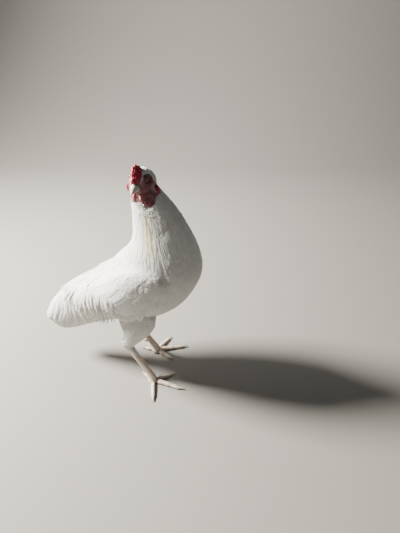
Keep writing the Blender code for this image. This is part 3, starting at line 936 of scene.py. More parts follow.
def tail_coat():
    coat = Coat("feathers_tail")
    root, tip = marks["tail_root"], marks["tip"]
    for sign in SIDES.values():
        for k in range(STIFF_FEATHERS):  # fanned from the top edge to the lower
            a0 = math.radians(8 + 17 * k)
            a1 = a0 + math.radians(6)
            p0 = root - 0.030 + 0.004 * random.random()
            p1 = tip - 0.004 - 0.030 * (k / (STIFF_FEATHERS - 1)) ** 2 - 0.012 * random.random()
            spots = [body_surface(blend(p0, p1, s), sign * blend(a0, a1, s)) for s in ALONG_LONG]
            cut = Cut(Outline.flight, ALONG_LONG, WIDE_RING, 0.0105, 0.0005,
                      -0.0028, -0.0004, -0.0006 * sign, 0.0005, 0.07)
            coat.add(envelope, through(spots), cut, (sign * a0, p0))
        for k in range(SICKLES):  # they arch over and hang down the sides
            a0 = math.radians(random.uniform(*SICKLE_ROOT))
            a1 = math.radians(random.uniform(*SICKLE_TIP))
            p0 = blend(root - 0.060, tip - 0.050, (k + random.random()) / SICKLES)
            p1 = min(p0 + random.uniform(*SICKLE_REACH), tip - 0.001)
            spots = [body_surface(blend(p0, p1, s), sign * blend(a0, a1, s**1.4)) for s in ALONG_LONG]
            path = through(spots)
            length = sum((b[0] - a[0]).length for a, b in zip(path, path[1:]))
            path = hung(path, ALONG_LONG, length * 1.05, 0.84, 1.6)
            cut = Cut(Outline.flight, ALONG_LONG, WIDE_RING, random.uniform(*SICKLE_WIDTH), 0.0005,
                      -0.0020, random.uniform(*SICKLE_HEIGHT), -0.0006 * sign, 0.0015, 0.06)
            coat.add(envelope, path, cut, (sign * a0, p0))
    under = [s for s in BODY_SEEDS["tail"] if angle_of(s) > 100]
    cover(coat, envelope, under, BELLY, tailwards)
    return coat, "loose_feathers"


coats.append(tail_coat())


# ---- thighs
def leg_ends(side):
    """Where the shank bends at the hock and at the ankle."""
    points = node_points("shank_" + side)
    points = points[np.argsort(points[:, 2])]
    few = max(6, len(points) // 14)
    return Vector(points[-few:].mean(0)), Vector(points[:few].mean(0))


shank_ends = {side: leg_ends(side) for side in SIDES}


CUFF = (1.05, 1.34)  # the last feathers' roots behind and ahead of the hock, as shares of the way to it
THIGH_CELL = 0.0020
THIGH_SMOOTHING = 9
SHANK_GROWTH = 0.0014  # lifts the feathers of the shank clear of its skin
FLANK_REACH = 0.018  # how far above the thigh, on the flank, the feathers that lie over its top begin


def thigh_coat(side):
    leg_shapes = [node_shape("thigh_" + side), node_shape("shank_" + side, SHANK_GROWTH)]
    trees = [BVHTree.FromPolygons(*leg_shape) for leg_shape in leg_shapes]
    flank_shapes = [node_shape(n) for n in ("trunk_front", "trunk_rear", "wing_" + side)]
    surface = surface_over(leg_shapes + flank_shapes, THIGH_CELL, THIGH_SMOOTHING)
    coat = Coat("feathers_thigh_" + side)
    hock, ankle = shank_ends[side]
    low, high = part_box("thigh_" + side)
    knee = Vector(((low.x + high.x) / 2 + 0.02, (low.y + high.y) / 2, high.z - 0.02))
    axis = (hock - knee).normalized()
    reach = (hock - knee).length
    shank_way = (ankle - hock).normalized()
    ahead = (AHEAD - shank_way * shank_way.x).normalized()
    made = []
    for point in surface.scattered(SEED_COUNT):
        if min(tree.find_nearest(point)[3] for tree in trees) > FLANK_REACH * random.uniform(0.4, 1.0):
            continue
        offset = point - hock
        along = 1 + offset.dot(axis) / reach
        past = offset.dot(shank_way)
        facing = ease((offset - shank_way * past).dot(ahead), -0.006, 0.006)
        if along > 0.85 and past > 0:
            along = 1 + past / reach
        if along < blend(*CUFF, facing):
            made.append(Seed(point, "thigh", along, math.atan2(offset.y, offset.x)))

    def flow(seed):
        return blend(axis + DOWN * 0.15, shank_way, ease(seed.place, 0.75, 1.0)).normalized()

    cover(coat, surface, made, THIGH, flow, lambda seed: blend(1.15, 0.62, ease(seed.place, 0.35, 0.95)))
    return coat, "body_plumage"


for side in SIDES:
    coats.append(thigh_coat(side))


# ---- skin
NECK_CROSSING = marks["neck_bend"] - 0.014  # below it the coarse skin shows, above it the fine one
CROSSING_DEPTH = 0.0060  # how much deeper the coarse one runs above it; below it the fine one, by half
HEAD_COAT_DEPTH = 0.0011  # the feathers are shortest here
HOCK_COAT_DEPTH = 0.0012


def thickness(surface, point, normal):
    hit = surface.tree.ray_cast(point - normal * 0.0006, -normal)
    return hit[3] if hit[0] is not None else 0.05


def coarse_skin():
    names = [*BODY_NODES[1:], *wing_nodes, "thigh_left", "thigh_right"]
    obj = remeshed("skin", [node_shape(n) for n in names], COARSE_CELL, COARSE_SMOOTHING)
    surface = Surface(obj.data)

    def sink(point, normal):
        depth = COAT_DEPTH
        for hock, _ in shank_ends.values():
            depth = min(depth, blend(HOCK_COAT_DEPTH, COAT_DEPTH, ease((point - hock).length, 0.020, 0.055)))
        place = spine.nearest(point)
        if place < NECK_CROSSING:
            depth += CROSSING_DEPTH * ease(NECK_CROSSING - place, 0.0, 0.014)
        return point - normal * min(depth, THIN_SHARE * thickness(surface, point, normal))

    return moved(obj, sink)


COMB_CELL = 0.0011
COMB_SMOOTHING = 4
PEA_SPACING = 0.0047
PEA_RADIUS = 0.0027
PEA_SIZES = (0.85, 1.15)  # shares of that radius
PEA_SINK = 0.55  # how deep a bead's middle lies in the comb, as a share of its radius


def comb_peas():
    """The round beads that cover the comb, as balls half sunk in it."""
    surface = surface_over([node_shape("comb")], COMB_CELL, COMB_SMOOTHING)
    comb_seeds = [Seed(p, "comb", 0.0, 0.0) for p in surface.points if in_head(p).z > BROW_LINE[0]]
    random.shuffle(comb_seeds)
    shapes = []
    for seed in spaced(comb_seeds, PEA_SPACING):
        size = PEA_RADIUS * random.uniform(*PEA_SIZES)
        _, normal = surface.snap(seed.point)
        shapes.append(ball(seed.point - normal * size * PEA_SINK, HEAD_AXES, (size, size, size)))
    return shapes


EyeFrame = namedtuple("EyeFrame", "middle gaze along up")
GAZE_AHEAD, GAZE_UP = 0.16, 0.05  # how far the eyes look forward and up, for each unit outward
EYES = {}
for side, sign in SIDES.items():
    gaze = (head_y * sign + head_x * GAZE_AHEAD + head_z * GAZE_UP).normalized()
    along = (head_x - gaze * head_x.dot(gaze)).normalized()
    EYES[side] = EyeFrame(box_centre("eye_" + side), gaze, along, gaze.cross(along) * sign)


def eye_place(eye, point):
    """Offsets along the slit, across it and out of the head, and how far out: 1 is on the lids' edge."""
    offset = point - eye.middle
    a, b, out = offset.dot(eye.along), offset.dot(eye.up), offset.dot(eye.gaze)
    return a, b, out, math.hypot(a / EYE_OPENING[0], b / EYE_OPENING[1])


LID_EDGE = 0.72  # from here out to 1, the skin is drawn to the lids' edge
LID_WIDTH = 0.75  # how far out from that edge the lid swells
LID_FADE = (1.30, 2.1)  # the lid is whole up to the first and blends into the face at the second
LID_REACH = 1.9  # how far out the lids' own colour runs
LIDS_END = 2.6  # nothing changes from here out
EYE_GAP = 0.0009  # how far under the ball the skin behind it lies


def open_lids(point):
    """Opens the skin over the eyeball and raises a lid round it."""
    for eye in EYES.values():
        a, b, out, ring = eye_place(eye, point)
        if out < 0 or ring > LIDS_END:
            continue
        if LID_EDGE < ring < 1.0:
            a, b, ring = a / ring, b / ring, 1.0
        below = EYE_RADIUS**2 - a * a - b * b
        ball_height = EYE_DEPTH * math.sqrt(max(below, (0.25 * EYE_RADIUS) ** 2))
        if ring < 0.9:
            out = ball_height - EYE_GAP
        else:
            swell = 0.25 + 0.75 * math.sin(math.pi * clamp((ring - 1) / LID_WIDTH))
            out = blend(ball_height + LID_THICKNESS * swell, out, ease(ring, *LID_FADE))
        return eye.middle + eye.along * a + eye.up * b + eye.gaze * out
    return point


def coat_depth(point):
    """How deep the skin lies at the head and the upper neck."""
    place = spine.nearest(point)
    deep = blend(HEAD_COAT_DEPTH, COAT_DEPTH, ease(place, marks["head"] + 0.018, marks["head"] + 0.055))
    deep += CROSSING_DEPTH / 2 * ease(place, NECK_CROSSING + 0.004, NECK_CROSSING + 0.014)
    return deep * (1 - ease(inside_face(point), -0.0005, 0.0050))


COMB_GROWTH = 0.0004  # how far the skin of the comb and the lobes lies outside their nodes
LOBE_GROWTH = 0.0009


def face_skin():
    shapes = [node_shape("head"), node_shape("neck_upper"), node_shape("comb", COMB_GROWTH)]
    shapes += [node_shape(f"{lobe}_{side}", LOBE_GROWTH) for lobe in ("wattle", "earlobe") for side in SIDES]
    shapes += comb_peas()
    obj = remeshed("face", shapes, FACE_CELL, FACE_SMOOTHING)

    def shape_face(point, normal):
        bare = bareness(point)
        point = point - normal * coat_depth(point)
        x, y, z = in_head(point)
        smooth_by_beak = 1 - ease(x, *FOLDS_END)
        if bare > 0 and z < BROW_LINE[0] + 0.0005:
            fold = abs(noise.noise(Vector((x * 0.75, y, z * 1.25)) * FACE_FOLD_SCALE)) * 2 - 0.55
            fine = noise.noise(point * FINE_FOLD_SCALE)
            point += normal * (FACE_FOLD * fold + FINE_FOLD * fine) * bare * smooth_by_beak
        return open_lids(point)

    return moved(obj, shape_face)


def leg_nodes(side):
    return [f"shank_{side}"] + [f"toe_{side}_{toe}" for toe in TOES]


def leg_skin(side):
    shapes = [node_shape(n, LEG_GROWTH) for n in leg_nodes(side)]
    return remeshed("leg_" + side, shapes, LEG_CELL, LEG_SMOOTHING)


coarse = coarse_skin()
face = face_skin()
legs = {side: leg_skin(side) for side in SIDES}
leg_surfaces = {side: Surface(obj.data) for side, obj in legs.items()}
skin = united(coarse, face, *legs.values())
for vert in skin.data.vertices:
    vert.co.z = max(vert.co.z, 0.0)


def nearness(names, reach, fade):
    """A function: 1 on the nodes' surfaces and up to reach from them, 0 from reach + fade on."""
    trees = [BVHTree.FromPolygons(*node_shape(n)) for n in names]

    def mask(point):
        gap = min(tree.find_nearest(point)[3] for tree in trees)
        return 1 - ease(gap, reach, reach + fade)

    return mask


on_comb = nearness(["comb"], 0.0012, 0.0012)
on_lobe = nearness([f"earlobe_{side}" for side in SIDES], 0.0010, 0.0010)
on_wattle = nearness([f"wattle_{side}" for side in SIDES], 0.0010, 0.0010)
on_leg = nearness([n for side in SIDES for n in leg_nodes(side)], 0.0016, 0.0008)


ORBIT_SHADE = (0.0110, 0.0165)  # painted shade, a dark ring round the eye in its socket: full up to the first, gone from the second
# Paler places of the face, on both sides of the head, the lores also brightened as painted light: middle, reach
# along each axis of the head, strength.
PALE_AND_LIT_PLACES = (
    ((0.0105, 0.0112, 0.0140), (0.0120, 0.0038, 0.0110), 1.0),  # the lores, between comb and eye: paler skin, brightened further as painted light
    ((-0.0010, 0.0320, -0.0150), (0.0080, 0.0080, 0.0090), 0.6),  # round the ear
)


def paleness_and_light(point):
    x, y, z = in_head(point)
    share = 0.0
    for middle, size, strength in PALE_AND_LIT_PLACES:
        gap = [(value - m) / r for value, m, r in zip((x, abs(y), z), middle, size)]
        share = max(share, strength * math.exp(-sum(value**2 for value in gap)))
    return share


def lid_share(point):
    """1 at the edge of a lid, 0 beyond its fold."""
    places = [eye_place(eye, point) for eye in EYES.values()]
    return max([1 - ease(ring, 1.0, LID_REACH) for _, _, out, ring in places if out > 0], default=0.0)


def orbit_shade_share(point):
    return max(1 - ease((point - eye.middle).length, *ORBIT_SHADE) for eye in EYES.values())


HEAD_MASKS = {
    "bare": bareness, "comb": on_comb, "lobe": on_lobe, "wattle": on_wattle,
    "lid": lid_share, "orbit_shade": orbit_shade_share, "pale": paleness_and_light,
}
HEAD_REACH = 0.075  # no mask of the head reaches farther from the head's middle
LEG_TOP = 0.16  # the skin of the legs lies below this height
for name, mask in HEAD_MASKS.items():
    values = [mask(v.co) if (v.co - HEAD_PLACE).length < HEAD_REACH else 0.0 for v in skin.data.vertices]
    set_attribute(skin.data, name, values)
set_attribute(skin.data, "leg", [on_leg(v.co) if v.co.z < LEG_TOP else 0.0 for v in skin.data.vertices])
set_attribute(skin.data, "stain", [stain(v.co) for v in skin.data.vertices])


# ---- materials: colours are linear, and a pair runs from the darker to the lighter
WHITE = (0.86, 0.845, 0.80)
CREAM = (0.80, 0.69, 0.38)
# greyer feather roots: partly the grey of the down, partly painted shade under the feathers that overlap them
DOWN_GREY_AND_SHADE = (0.70, 0.68, 0.64)
OLD_WHITE = (0.80, 0.785, 0.735)
BARB_GREY = (0.70, 0.69, 0.65)
SHAFT = (0.78, 0.74, 0.64)
WARM_WHITE = (0.82, 0.77, 0.66)
HIDDEN_SKIN = (0.74, 0.70, 0.65)
# the bare face's own dusky red, darkened further as painted shade
FACE_SHADED = ((0.14, 0.042, 0.054), (0.24, 0.092, 0.108))
# painted shade in the crevices between the face's pebbles
FACE_PIT_SHADE = (0.12, 0.014, 0.018)
FACE_PALE = (0.32, 0.18, 0.18)
# painted shade round the eye
ORBIT_SHADE_RED = (0.19, 0.050, 0.062)
# pale lores colour, partly painted light
LORES_LIT = (0.78, 0.58, 0.58)
COMB = ((0.27, 0.007, 0.024), (0.47, 0.045, 0.080))
# painted shade in the crevices between the comb's pebbles
COMB_PIT_SHADE = (0.17, 0.005, 0.014)
LOBE = ((0.17, 0.006, 0.022), (0.32, 0.035, 0.060))
WATTLE = ((0.30, 0.055, 0.070), (0.50, 0.19, 0.20))
LID = (0.20, 0.045, 0.050)
LEG = ((0.56, 0.47, 0.39), (0.68, 0.59, 0.50))
# painted shade in the creases between the leg's scales
LEG_CREASE_SHADE = (0.40, 0.24, 0.17)
SCUTE = ((0.54, 0.46, 0.38), (0.70, 0.62, 0.53))
SCUTE_FLUSH = (0.58, 0.42, 0.36)
SCUTE_SIDE = (0.42, 0.28, 0.20)
SCUTE_END = (0.46, 0.32, 0.24)
BEAK = ((0.24, 0.20, 0.17), (0.50, 0.46, 0.40))
CLAW = ((0.16, 0.11, 0.08), (0.58, 0.50, 0.40))
# painted shade inside the nostrils
NOSTRIL_SHADE = (0.03, 0.012, 0.012)
PUPIL = (0.004, 0.004, 0.004)
IRIS = ((0.10, 0.036, 0.018), (0.19, 0.072, 0.034))
IRIS_RIM = (0.10, 0.035, 0.016)
EYE_WHITE = (0.10, 0.06, 0.05)
BRISTLE_BROWN = (0.06, 0.035, 0.030)
FLOOR_GREY = (0.22, 0.210, 0.194)


class Paint:
    """A node material, built by small steps."""

    def __init__(self, name):
        self.material = bpy.data.materials.new(name)
        self.material.use_nodes = True
        self.tree = self.material.node_tree
        self.shader = self.tree.nodes["Principled BSDF"]

    def put(self, target, value):
        if isinstance(value, bpy.types.NodeSocket):
            self.tree.links.new(value, target)
        elif target.type == "RGBA":
            target.default_value = (*value, 1.0)
        else:
            target.default_value = value

    def node(self, kind, output, inputs=(), **settings):
        made = self.tree.nodes.new(kind)
        for key, value in settings.items():
            setattr(made, key, value)
        for key, value in dict(inputs).items():
            self.put(made.inputs[key], value)
        return made.outputs[output]

    def place(self):
        return self.node("ShaderNodeTexCoord", "Object")

    def mark(self, name):
        return self.node("ShaderNodeAttribute", "Fac", attribute_name=name)

    def uv(self, name, axis):
        vector = self.node("ShaderNodeUVMap", "UV", uv_map=name)
        return self.node("ShaderNodeSeparateXYZ", axis, {"Vector": vector})

    def math(self, operation, a, b=0.0, c=0.0):
        return self.node("ShaderNodeMath", "Value", {0: a, 1: b, 2: c}, operation=operation)

    def noise(self, scale, detail=3.0, where=None):
        inputs = {"Scale": scale, "Detail": detail, "Vector": where or self.place()}
        return self.node("ShaderNodeTexNoise", "Fac", inputs)

    def cells(self, scale, feature="F1", output="Distance", where=None):
        inputs = {"Scale": scale, "Vector": where or self.place()}
        return self.node("ShaderNodeTexVoronoi", output, inputs, feature=feature)

    def mix(self, share, a, b):
        made = self.tree.nodes.new("ShaderNodeMix")
        made.data_type = "RGBA"
        self.put(made.inputs[0], share)
        self.put(made.inputs[6], a)
        self.put(made.inputs[7], b)
        return made.outputs[2]

    def span(self, value, low, high, to_low=0.0, to_high=1.0):
        inputs = {"Value": value, "From Min": low, "From Max": high, "To Min": to_low, "To Max": to_high}
        return self.node("ShaderNodeMapRange", "Result", inputs, interpolation_type="SMOOTHSTEP")

    def bump(self, height, strength, distance, normal=None):
        inputs = {"Height": height, "Strength": strength, "Distance": distance}
        if normal is not None:
            inputs["Normal"] = normal
        return self.node("ShaderNodeBump", "Normal", inputs)

    def finish(self, **inputs):
        for key, value in inputs.items():
            self.put(self.shader.inputs[key.replace("_", " ")], value)
        return self.material


def plumage_paint(name, barbs, softness):
    """White feathers: barbs slant from the shaft, as many as given, and each feather has its own tone."""
    p = Paint(name)
    across, along = p.uv("vane", "X"), p.uv("vane", "Y")
    off = p.math("ABSOLUTE", p.math("SUBTRACT", across, 0.5))
    slant = p.math("SUBTRACT", p.math("MULTIPLY", along, barbs), p.math("MULTIPLY", off, barbs * 0.45))
    wobble = p.math("MULTIPLY", p.noise(160.0, 2.0), 1.6)
    rib = p.math("SINE", p.math("MULTIPLY", p.math("ADD", slant, wobble), 2 * math.pi))
    rib = p.math("MULTIPLY_ADD", rib, 0.5, 0.5)
    tone = p.mark("tone")
    white = p.mix(p.math("MULTIPLY", tone, 0.55), WHITE, OLD_WHITE)
    # greyer towards each root: partly its down, partly painted shade under the overlapping feathers
    white = p.mix(p.span(along, 0.55, 0.10, 0.0, 0.3), white, DOWN_GREY_AND_SHADE)
    white = p.mix(p.math("MULTIPLY", rib, 0.10), white, BARB_GREY)
    white = p.mix(p.span(off, 0.045, 0.0, 0.0, 0.30), white, SHAFT)
    white = p.mix(p.span(p.noise(14.0, 4.0), 0.45, 0.75, 0.0, 0.15), white, WARM_WHITE)
    colour = p.mix(p.mark("stain"), white, CREAM)
    normal = p.bump(rib, 0.22, 0.0004)
    return p.finish(Base_Color=colour, Roughness=softness, Normal=normal, Specular_IOR_Level=0.25,
                    Sheen_Weight=0.18, Sheen_Roughness=0.45, Subsurface_Weight=0.35,
                    Subsurface_Scale=0.004, Subsurface_Radius=(1.0, 0.95, 0.85))


def skin_paint():
    p = Paint("skin_paint")
    bare, comb, lobe, wattle, leg = (p.mark(name) for name in ("bare", "comb", "lobe", "wattle", "leg"))
    flush = p.span(p.noise(95.0, 4.0), 0.35, 0.68)
    pebbles = p.cells(620.0)
    # the face's red, darkened as painted shade
    red = p.mix(flush, *FACE_SHADED)
    # painted shade in the crevices between the pebbles
    red = p.mix(p.span(pebbles, 0.25, 0.75, 0.0, 0.55), red, FACE_PIT_SHADE)
    red = p.mix(p.span(p.noise(60.0, 3.0), 0.52, 0.70, 0.0, 0.45), red, FACE_PALE)
    # painted shade in a ring round the eye
    red = p.mix(p.math("MULTIPLY", p.mark("orbit_shade"), 0.60), red, ORBIT_SHADE_RED)
    # paler lores and ear patch; on the lores it is partly painted light
    red = p.mix(p.math("MULTIPLY", p.mark("pale"), 0.95), red, LORES_LIT)
    comb_red = p.mix(p.span(p.noise(140.0, 4.0), 0.35, 0.7), *COMB)
    # painted shade in the crevices between the comb's pebbles
    comb_red = p.mix(p.span(pebbles, 0.3, 0.8, 0.0, 0.45), comb_red, COMB_PIT_SHADE)
    colour = p.mix(bare, p.mix(p.mark("stain"), HIDDEN_SKIN, CREAM), red)
    colour = p.mix(lobe, colour, p.mix(flush, *LOBE))
    colour = p.mix(wattle, colour, p.mix(flush, *WATTLE))
    colour = p.mix(comb, colour, comb_red)
    colour = p.mix(p.math("MULTIPLY", p.mark("lid"), 0.65), colour, LID)
    scales = p.cells(560.0, "DISTANCE_TO_EDGE")
    ivory = p.mix(p.span(p.noise(50.0, 4.0), 0.3, 0.7), *LEG)
    # painted shade in the creases between scales
    ivory = p.mix(p.span(scales, 0.10, 0.0, 0.0, 0.6), ivory, LEG_CREASE_SHADE)
    colour = p.mix(leg, colour, ivory)
    soft = p.math("MAXIMUM", p.math("MAXIMUM", bare, wattle), p.math("MAXIMUM", comb, lobe))
    height = p.math("MULTIPLY", p.math("SUBTRACT", 1.0, pebbles), soft)
    height = p.math("ADD", height, p.math("MULTIPLY", p.span(scales, 0.0, 0.14), leg))
    height = p.math("ADD", height, p.math("MULTIPLY", p.noise(900.0, 3.0), 0.3))
    rough = p.span(soft, 0.0, 1.0, 0.62, 0.46)
    return p.finish(Base_Color=colour, Roughness=rough, Normal=p.bump(height, 0.55, 0.0005),
                    Specular_IOR_Level=0.4, Subsurface_Weight=0.10, Subsurface_Scale=0.002)


def scute_paint():
    p = Paint("scute_paint")
    across, along = p.uv("vane", "X"), p.uv("vane", "Y")
    ivory = p.mix(p.mark("tone"), *SCUTE)
    ivory = p.mix(p.span(p.noise(260.0, 4.0), 0.4, 0.75, 0.0, 0.5), ivory, SCUTE_FLUSH)
    off = p.math("ABSOLUTE", p.math("SUBTRACT", across, 0.5))
    ivory = p.mix(p.span(off, 0.30, 0.5, 0.0, 0.45), ivory, SCUTE_SIDE)
    ivory = p.mix(p.span(along, 0.85, 1.0, 0.0, 0.35), ivory, SCUTE_END)
    return p.finish(Base_Color=ivory, Roughness=p.span(p.noise(400.0), 0.3, 0.7, 0.34, 0.50),
                    Normal=p.bump(p.noise(1400.0, 2.0), 0.18, 0.0002), Specular_IOR_Level=0.5)


def horn_paint(name, dark, pale, tip_dark):
    """Horn, darker towards the tip by that share, with a grain."""
    p = Paint(name)
    grain = p.noise(520.0, 4.0)
    colour = p.mix(p.span(grain, 0.35, 0.7, 0.0, 0.45), pale, dark)
    colour = p.mix(p.span(p.mark("tip"), 0.45, 1.0, 0.0, tip_dark), colour, dark)
    # painted shade inside the nostril dents
    colour = p.mix(p.mark("nostril_shade"), colour, NOSTRIL_SHADE)
    return p.finish(Base_Color=colour, Roughness=p.span(grain, 0.3, 0.7, 0.26, 0.40),
                    Normal=p.bump(grain, 0.15, 0.0002), Specular_IOR_Level=0.5,
                    Coat_Weight=0.15, Coat_Roughness=0.25)


def eye_paint():
    p = Paint("eye_paint")
    gaze = p.mark("gaze")
    iris = p.mix(p.span(p.noise(900.0, 3.0), 0.35, 0.65), *IRIS)
    iris = p.mix(p.span(gaze, 0.16, 0.22), IRIS_RIM, iris)
    colour = p.mix(p.span(gaze, 0.115, 0.135), PUPIL, iris)
    colour = p.mix(p.span(gaze, 0.255, 0.29), colour, EYE_WHITE)
    return p.finish(Base_Color=colour, Roughness=0.22, Specular_IOR_Level=0.35,
                    Coat_Weight=0.25, Coat_Roughness=0.05)


soft_paint = plumage_paint("soft_plumage", 34.0, 0.72)
long_paint = plumage_paint("long_plumage", 60.0, 0.62)
flesh = ["head", "comb", *BODY_NODES[1:], *wing_nodes]
for side in SIDES:
    flesh += [f"{part}_{side}" for part in ("wattle", "earlobe", "thigh")] + leg_nodes(side)
stand_in(skin, skin_paint(), "face_skin", *flesh)

for coat, slot in coats:
    coat.build(long_paint if slot == "loose_feathers" else soft_paint, slot)


# ---- scutes of the shanks and toes
def scute(coat, surface, start, way, length, half_width, lift, root):
    """One scute, a short stiff plate that lies over the next."""
    path = march(surface, start, way, length, ALONG_SCUTE)
    cut = Cut(Outline.scute, ALONG_SCUTE, WIDE_RING, half_width, 0.0005, -0.0005, lift, 0.0, 0.00015, 0.03)
    coat.add(surface, path, cut, root)


# Columns of scutes down the shank: degrees round it from its front, how many, and half width as a share of
# the slanting way from the shank's middle, outwards and up, to its skin.
SHANK_SCUTES = (
    (-24, 21, 0.525), (24, 21, 0.525), (150, 24, 0.441), (-150, 24, 0.441), (86, 26, 0.378), (-86, 26, 0.378),
)
SHANK_SCUTE_LIFT = 0.00045
TOE_SCUTE_LENGTH = 0.0042
TOE_SCUTE_WIDTH = 0.0044
TOE_SCUTE_LIFT = 0.0004
SHANK_OVERLAP, TOE_OVERLAP = 1.55, 1.5  # a scute's length, as a share of the way from one to the next


def leg_scutes(side):
    coat = Coat("scutes_" + side)
    surface = leg_surfaces[side]
    hock, ankle = shank_ends[side]
    axis = (ankle - hock).normalized()
    reach = (ankle - hock).length
    ahead = (AHEAD - axis).normalized()  # slants up the shank
    for turn, rows, width in SHANK_SCUTES:
        outwards = Quaternion(axis, math.radians(turn)) @ ahead
        for k in range(rows):
            place = hock + axis * reach * (0.02 + 0.94 * (k + (0.5 if turn > 0 else 0.0)) / rows)
            hit = surface.cast(place, outwards)
            if hit:
                half_width = (hit[0] - place).length * width
                scute(coat, surface, hit[0], axis, reach / rows * SHANK_OVERLAP, half_width, SHANK_SCUTE_LIFT,
                      (math.radians(turn), place.z))
    foot = mounts["sole_" + side]
    for toe in TOES:
        way = box_centre(f"claw_{side}_{toe}") - foot
        way.z = 0
        run = way.length
        way.normalize()
        rows = max(6, int(run / TOE_SCUTE_LENGTH))
        for k in range(rows):
            hit = surface.cast(foot + way * run * (0.10 + 0.84 * k / rows) + UP * 0.05, DOWN)
            if hit:
                half_width = TOE_SCUTE_WIDTH * blend(1.0, 0.82, k / rows)
                scute(coat, surface, hit[0], way, run / rows * TOE_OVERLAP, half_width, TOE_SCUTE_LIFT,
                      (math.atan2(way.y, way.x), 0.5 * k / rows))
    coat.build(scutes_material, "leg_scales")


scutes_material = scute_paint()
for side in SIDES:
    leg_scutes(side)


# ---- bristles of the throat
BRISTLE = Tract(0.0030, 0.0072, 0.00075, Outline.hackle, ALONG_SLIM, SLIM_RING, 0.0003,
                -0.0004, 0.0026, 0.0, 0.0001, 0.1, 0.2, 25)
BRISTLE_TRIES = 900
THROAT_REACH = 0.04  # from the head's level down to the throat, and from there to well ahead of it


def bristles():
    """A few dark bristles on the throat, behind the lower border of the face."""
    coat = Coat("bristles")
    roots = []
    for _ in range(BRISTLE_TRIES):
        start = from_head(random.uniform(0.014, 0.036), random.uniform(-0.020, 0.022), 0.0)
        start += (head_x - head_z) * THROAT_REACH
        hit = envelope.cast(start, (-head_x * random.uniform(0.6, 1.0)).normalized())
        if hit and -0.0010 > inside_face(hit[0]) > -0.0090 and in_head(hit[0]).x > 0.012:
            roots.append(Seed(hit[0], "neck_upper", *spine.coordinates(hit[0])))
    cover(coat, envelope, roots, BRISTLE, tailwards)
    p = Paint("bristle_paint")
    coat.build(p.finish(Base_Color=BRISTLE_BROWN, Roughness=0.5), "body_plumage")


bristles()


# ---- eyes
EYE_RINGS, EYE_SIDES = 28, 40


def make_eye(side):
    eye = EYES[side]
    shape = ball(eye.middle, (eye.along, eye.up, eye.gaze), (EYE_RADIUS,) * 3, EYE_RINGS, EYE_SIDES)
    obj = mesh_object("eyeball_" + side, *shape)
    for vert in obj.data.vertices:  # the front bulges out less than a ball
        out = (vert.co - eye.middle).dot(eye.gaze)
        vert.co -= eye.gaze * max(out, 0.0) * (1 - EYE_DEPTH)
    gaze = [ring / EYE_RINGS for ring in range(1, EYE_RINGS) for _ in range(EYE_SIDES)] + [0.0, 1.0]
    set_attribute(obj.data, "gaze", gaze)
    stand_in(obj, eye_material, "eye", "eye_" + side)


eye_material = eye_paint()
for side in SIDES:
    make_eye(side)


# ---- beak, claws and spurs
BEAK_CELL = 0.00055
BEAK_SMOOTHING = 4
NOSTRIL = (0.0302, 0.0066)  # in the head's frame, forward and up
NOSTRIL_SIZE = (0.0026, 0.0014)
NOSTRIL_DEPTH = 0.0013
RIDGE = 0.0015  # half width of the ridge between the nostrils


def mark_horn(obj, reach, nostril_shade):
    """Marks how far each vertex lies towards the tip, and how deep in the nostril, where shade is painted."""
    low, high = min(reach), max(reach)
    set_attribute(obj.data, "tip", [(value - low) / (high - low) for value in reach])
    set_attribute(obj.data, "nostril_shade", nostril_shade)


def make_beak(half):
    obj = remeshed("horn_" + half, [node_shape(half)], BEAK_CELL, BEAK_SMOOTHING)
    nostril_shade = []

    def carve(point, normal):
        x, y, z = in_head(point)
        dent = math.hypot((x - NOSTRIL[0]) / NOSTRIL_SIZE[0], (z - NOSTRIL[1]) / NOSTRIL_SIZE[1])
        beside = half == "beak_upper" and abs(y) >= RIDGE
        nostril_shade.append((1 - ease(dent, 0.7, 1.2)) * beside)
        return point - normal * NOSTRIL_DEPTH * (1 - ease(dent, 0.5, 1.3)) * beside

    moved(obj, carve)
    mark_horn(obj, [in_head(vert.co).x for vert in obj.data.vertices], nostril_shade)
    stand_in(obj, beak_material, "horn", half)


def make_point(node, root):
    """A claw or spur, from its CAD node, rounded."""
    shape = node_shape(node)
    obj = mesh_object(node + "_horn", shape.points, shape.faces)
    rounding = obj.modifiers.new("rounding", "SUBSURF")
    rounding.levels = rounding.render_levels = 2
    settle(obj)
    gaps = [(vert.co - root).length for vert in obj.data.vertices]
    mark_horn(obj, gaps, [0.0] * len(gaps))
    obj.data.shade_smooth()
    stand_in(obj, claw_material, "horn", node)


beak_material = horn_paint("beak_paint", *BEAK, 0.35)
claw_material = horn_paint("claw_paint", *CLAW, 0.85)
for half in ("beak_upper", "beak_lower"):
    make_beak(half)
for side in SIDES:
    make_point("spur_" + side, blend(*shank_ends[side], 0.68))
    for toe in TOES:
        make_point(f"claw_{side}_{toe}", mounts["sole_" + side])


# ---- floor, light and camera
FLOOR_REACH = 8.0  # how far the floor runs to each side of the bird and to its front
SWEEP_START = 1.7  # how far behind the bird it starts to rise
SWEEP_RADIUS = 1.5
SWEEP_STEPS = 48
BACKDROP_TOP = 5.0


def make_floor(right, away):
    """A floor that sweeps up behind the bird as a backdrop."""
    profile = [(-FLOOR_REACH, 0.0), (SWEEP_START - 0.05, 0.0)]
    for k in range(SWEEP_STEPS + 1):
        turn = math.pi / 2 * k / SWEEP_STEPS
        profile.append((SWEEP_START + SWEEP_RADIUS * math.sin(turn), SWEEP_RADIUS * (1 - math.cos(turn))))
    profile.append((SWEEP_START + SWEEP_RADIUS, BACKDROP_TOP))
    middle = Vector((STANCE.x, STANCE.y, 0))
    points = [
        middle + right * aside + away * back + UP * rise
        for back, rise in profile
        for aside in (-FLOOR_REACH, FLOOR_REACH)
    ]
    faces = [(2 * k, 2 * k + 1, 2 * k + 3, 2 * k + 2) for k in range(len(profile) - 1)]
    obj = mesh_object("floor", points, faces)
    p = Paint("floor_paint")
    obj.data.materials.append(p.finish(Base_Color=FLOOR_GREY, Roughness=0.85, Specular_IOR_Level=0.2))


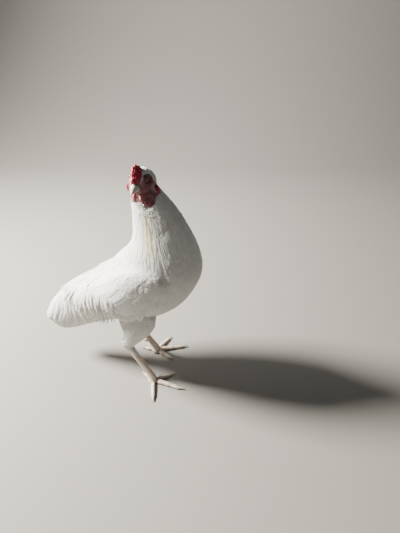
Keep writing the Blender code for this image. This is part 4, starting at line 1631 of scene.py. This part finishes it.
def make_light(name, place, target, size, power, colour):
    """A round area light that faces its target."""
    light = bpy.data.lights.new(name, "AREA")
    light.shape = "DISK"
    light.size = size
    light.energy = power
    light.color = colour
    obj = bpy.data.objects.new(name, light)
    bpy.context.scene.collection.objects.link(obj)
    obj.location = place
    obj.rotation_mode = "QUATERNION"
    obj.rotation_quaternion = (target - Vector(place)).to_track_quat("-Z", "Y")


def make_camera():
    yaw, pitch = math.radians(BIRD_YAW), math.radians(CAMERA_PITCH)
    right = Vector((math.cos(yaw), math.sin(yaw), 0))
    away = Vector((-math.sin(yaw), math.cos(yaw), 0))
    forward = away * math.cos(pitch) - UP * math.sin(pitch)
    camera = bpy.data.cameras.new("camera")
    camera.sensor_width = SENSOR
    camera.lens = LENS
    obj = bpy.data.objects.new("camera", camera)
    bpy.context.scene.collection.objects.link(obj)
    obj.matrix_world = Matrix.Translation(STANCE + Vector(CAMERA_PLACE)) @ Matrix(
        (right, right.cross(forward), -forward)
    ).transposed().to_4x4()
    bpy.context.scene.camera = obj
    return right, away


view_right, view_away = make_camera()
make_floor(view_right, view_away)
KEY_DISTANCE = 1.9
KEY_RISE = math.radians(38.5)
KEY_BEHIND = math.radians(9)  # how far behind the bird it stands, from square to the view
key_way = (view_away * math.sin(KEY_BEHIND) - view_right * math.cos(KEY_BEHIND)) * math.cos(KEY_RISE)
key_way += UP * math.sin(KEY_RISE)
bird_middle = STANCE + UP * 0.28
backdrop_middle = STANCE + view_away * 2.9 + UP * 0.6
fill_place = STANCE + view_right * 1.6 - view_away * 1.2 + UP * 1.1
backdrop_place = STANCE + view_away * 0.9 + UP * 1.9  # with its back to the bird
LIGHTS = (  # name, place, target, size, power, colour
    ("key", bird_middle + key_way * KEY_DISTANCE, bird_middle, 0.50, 350.0, (1.0, 0.965, 0.885)),
    ("fill", fill_place, bird_middle, 1.6, 2.0, (0.95, 0.97, 1.0)),
    ("backdrop", backdrop_place, backdrop_middle, 1.2, 70.0, (1.0, 0.98, 0.95)),
)
for light in LIGHTS:
    make_light(*light)
WORLD_COLOUR = (0.93, 0.96, 0.95, 1.0)
WORLD_STRENGTH = 0.13
world = bpy.data.worlds.new("studio")
world.use_nodes = True
background = world.node_tree.nodes["Background"].inputs
background["Color"].default_value = WORLD_COLOUR
background["Strength"].default_value = WORLD_STRENGTH
bpy.context.scene.world = world
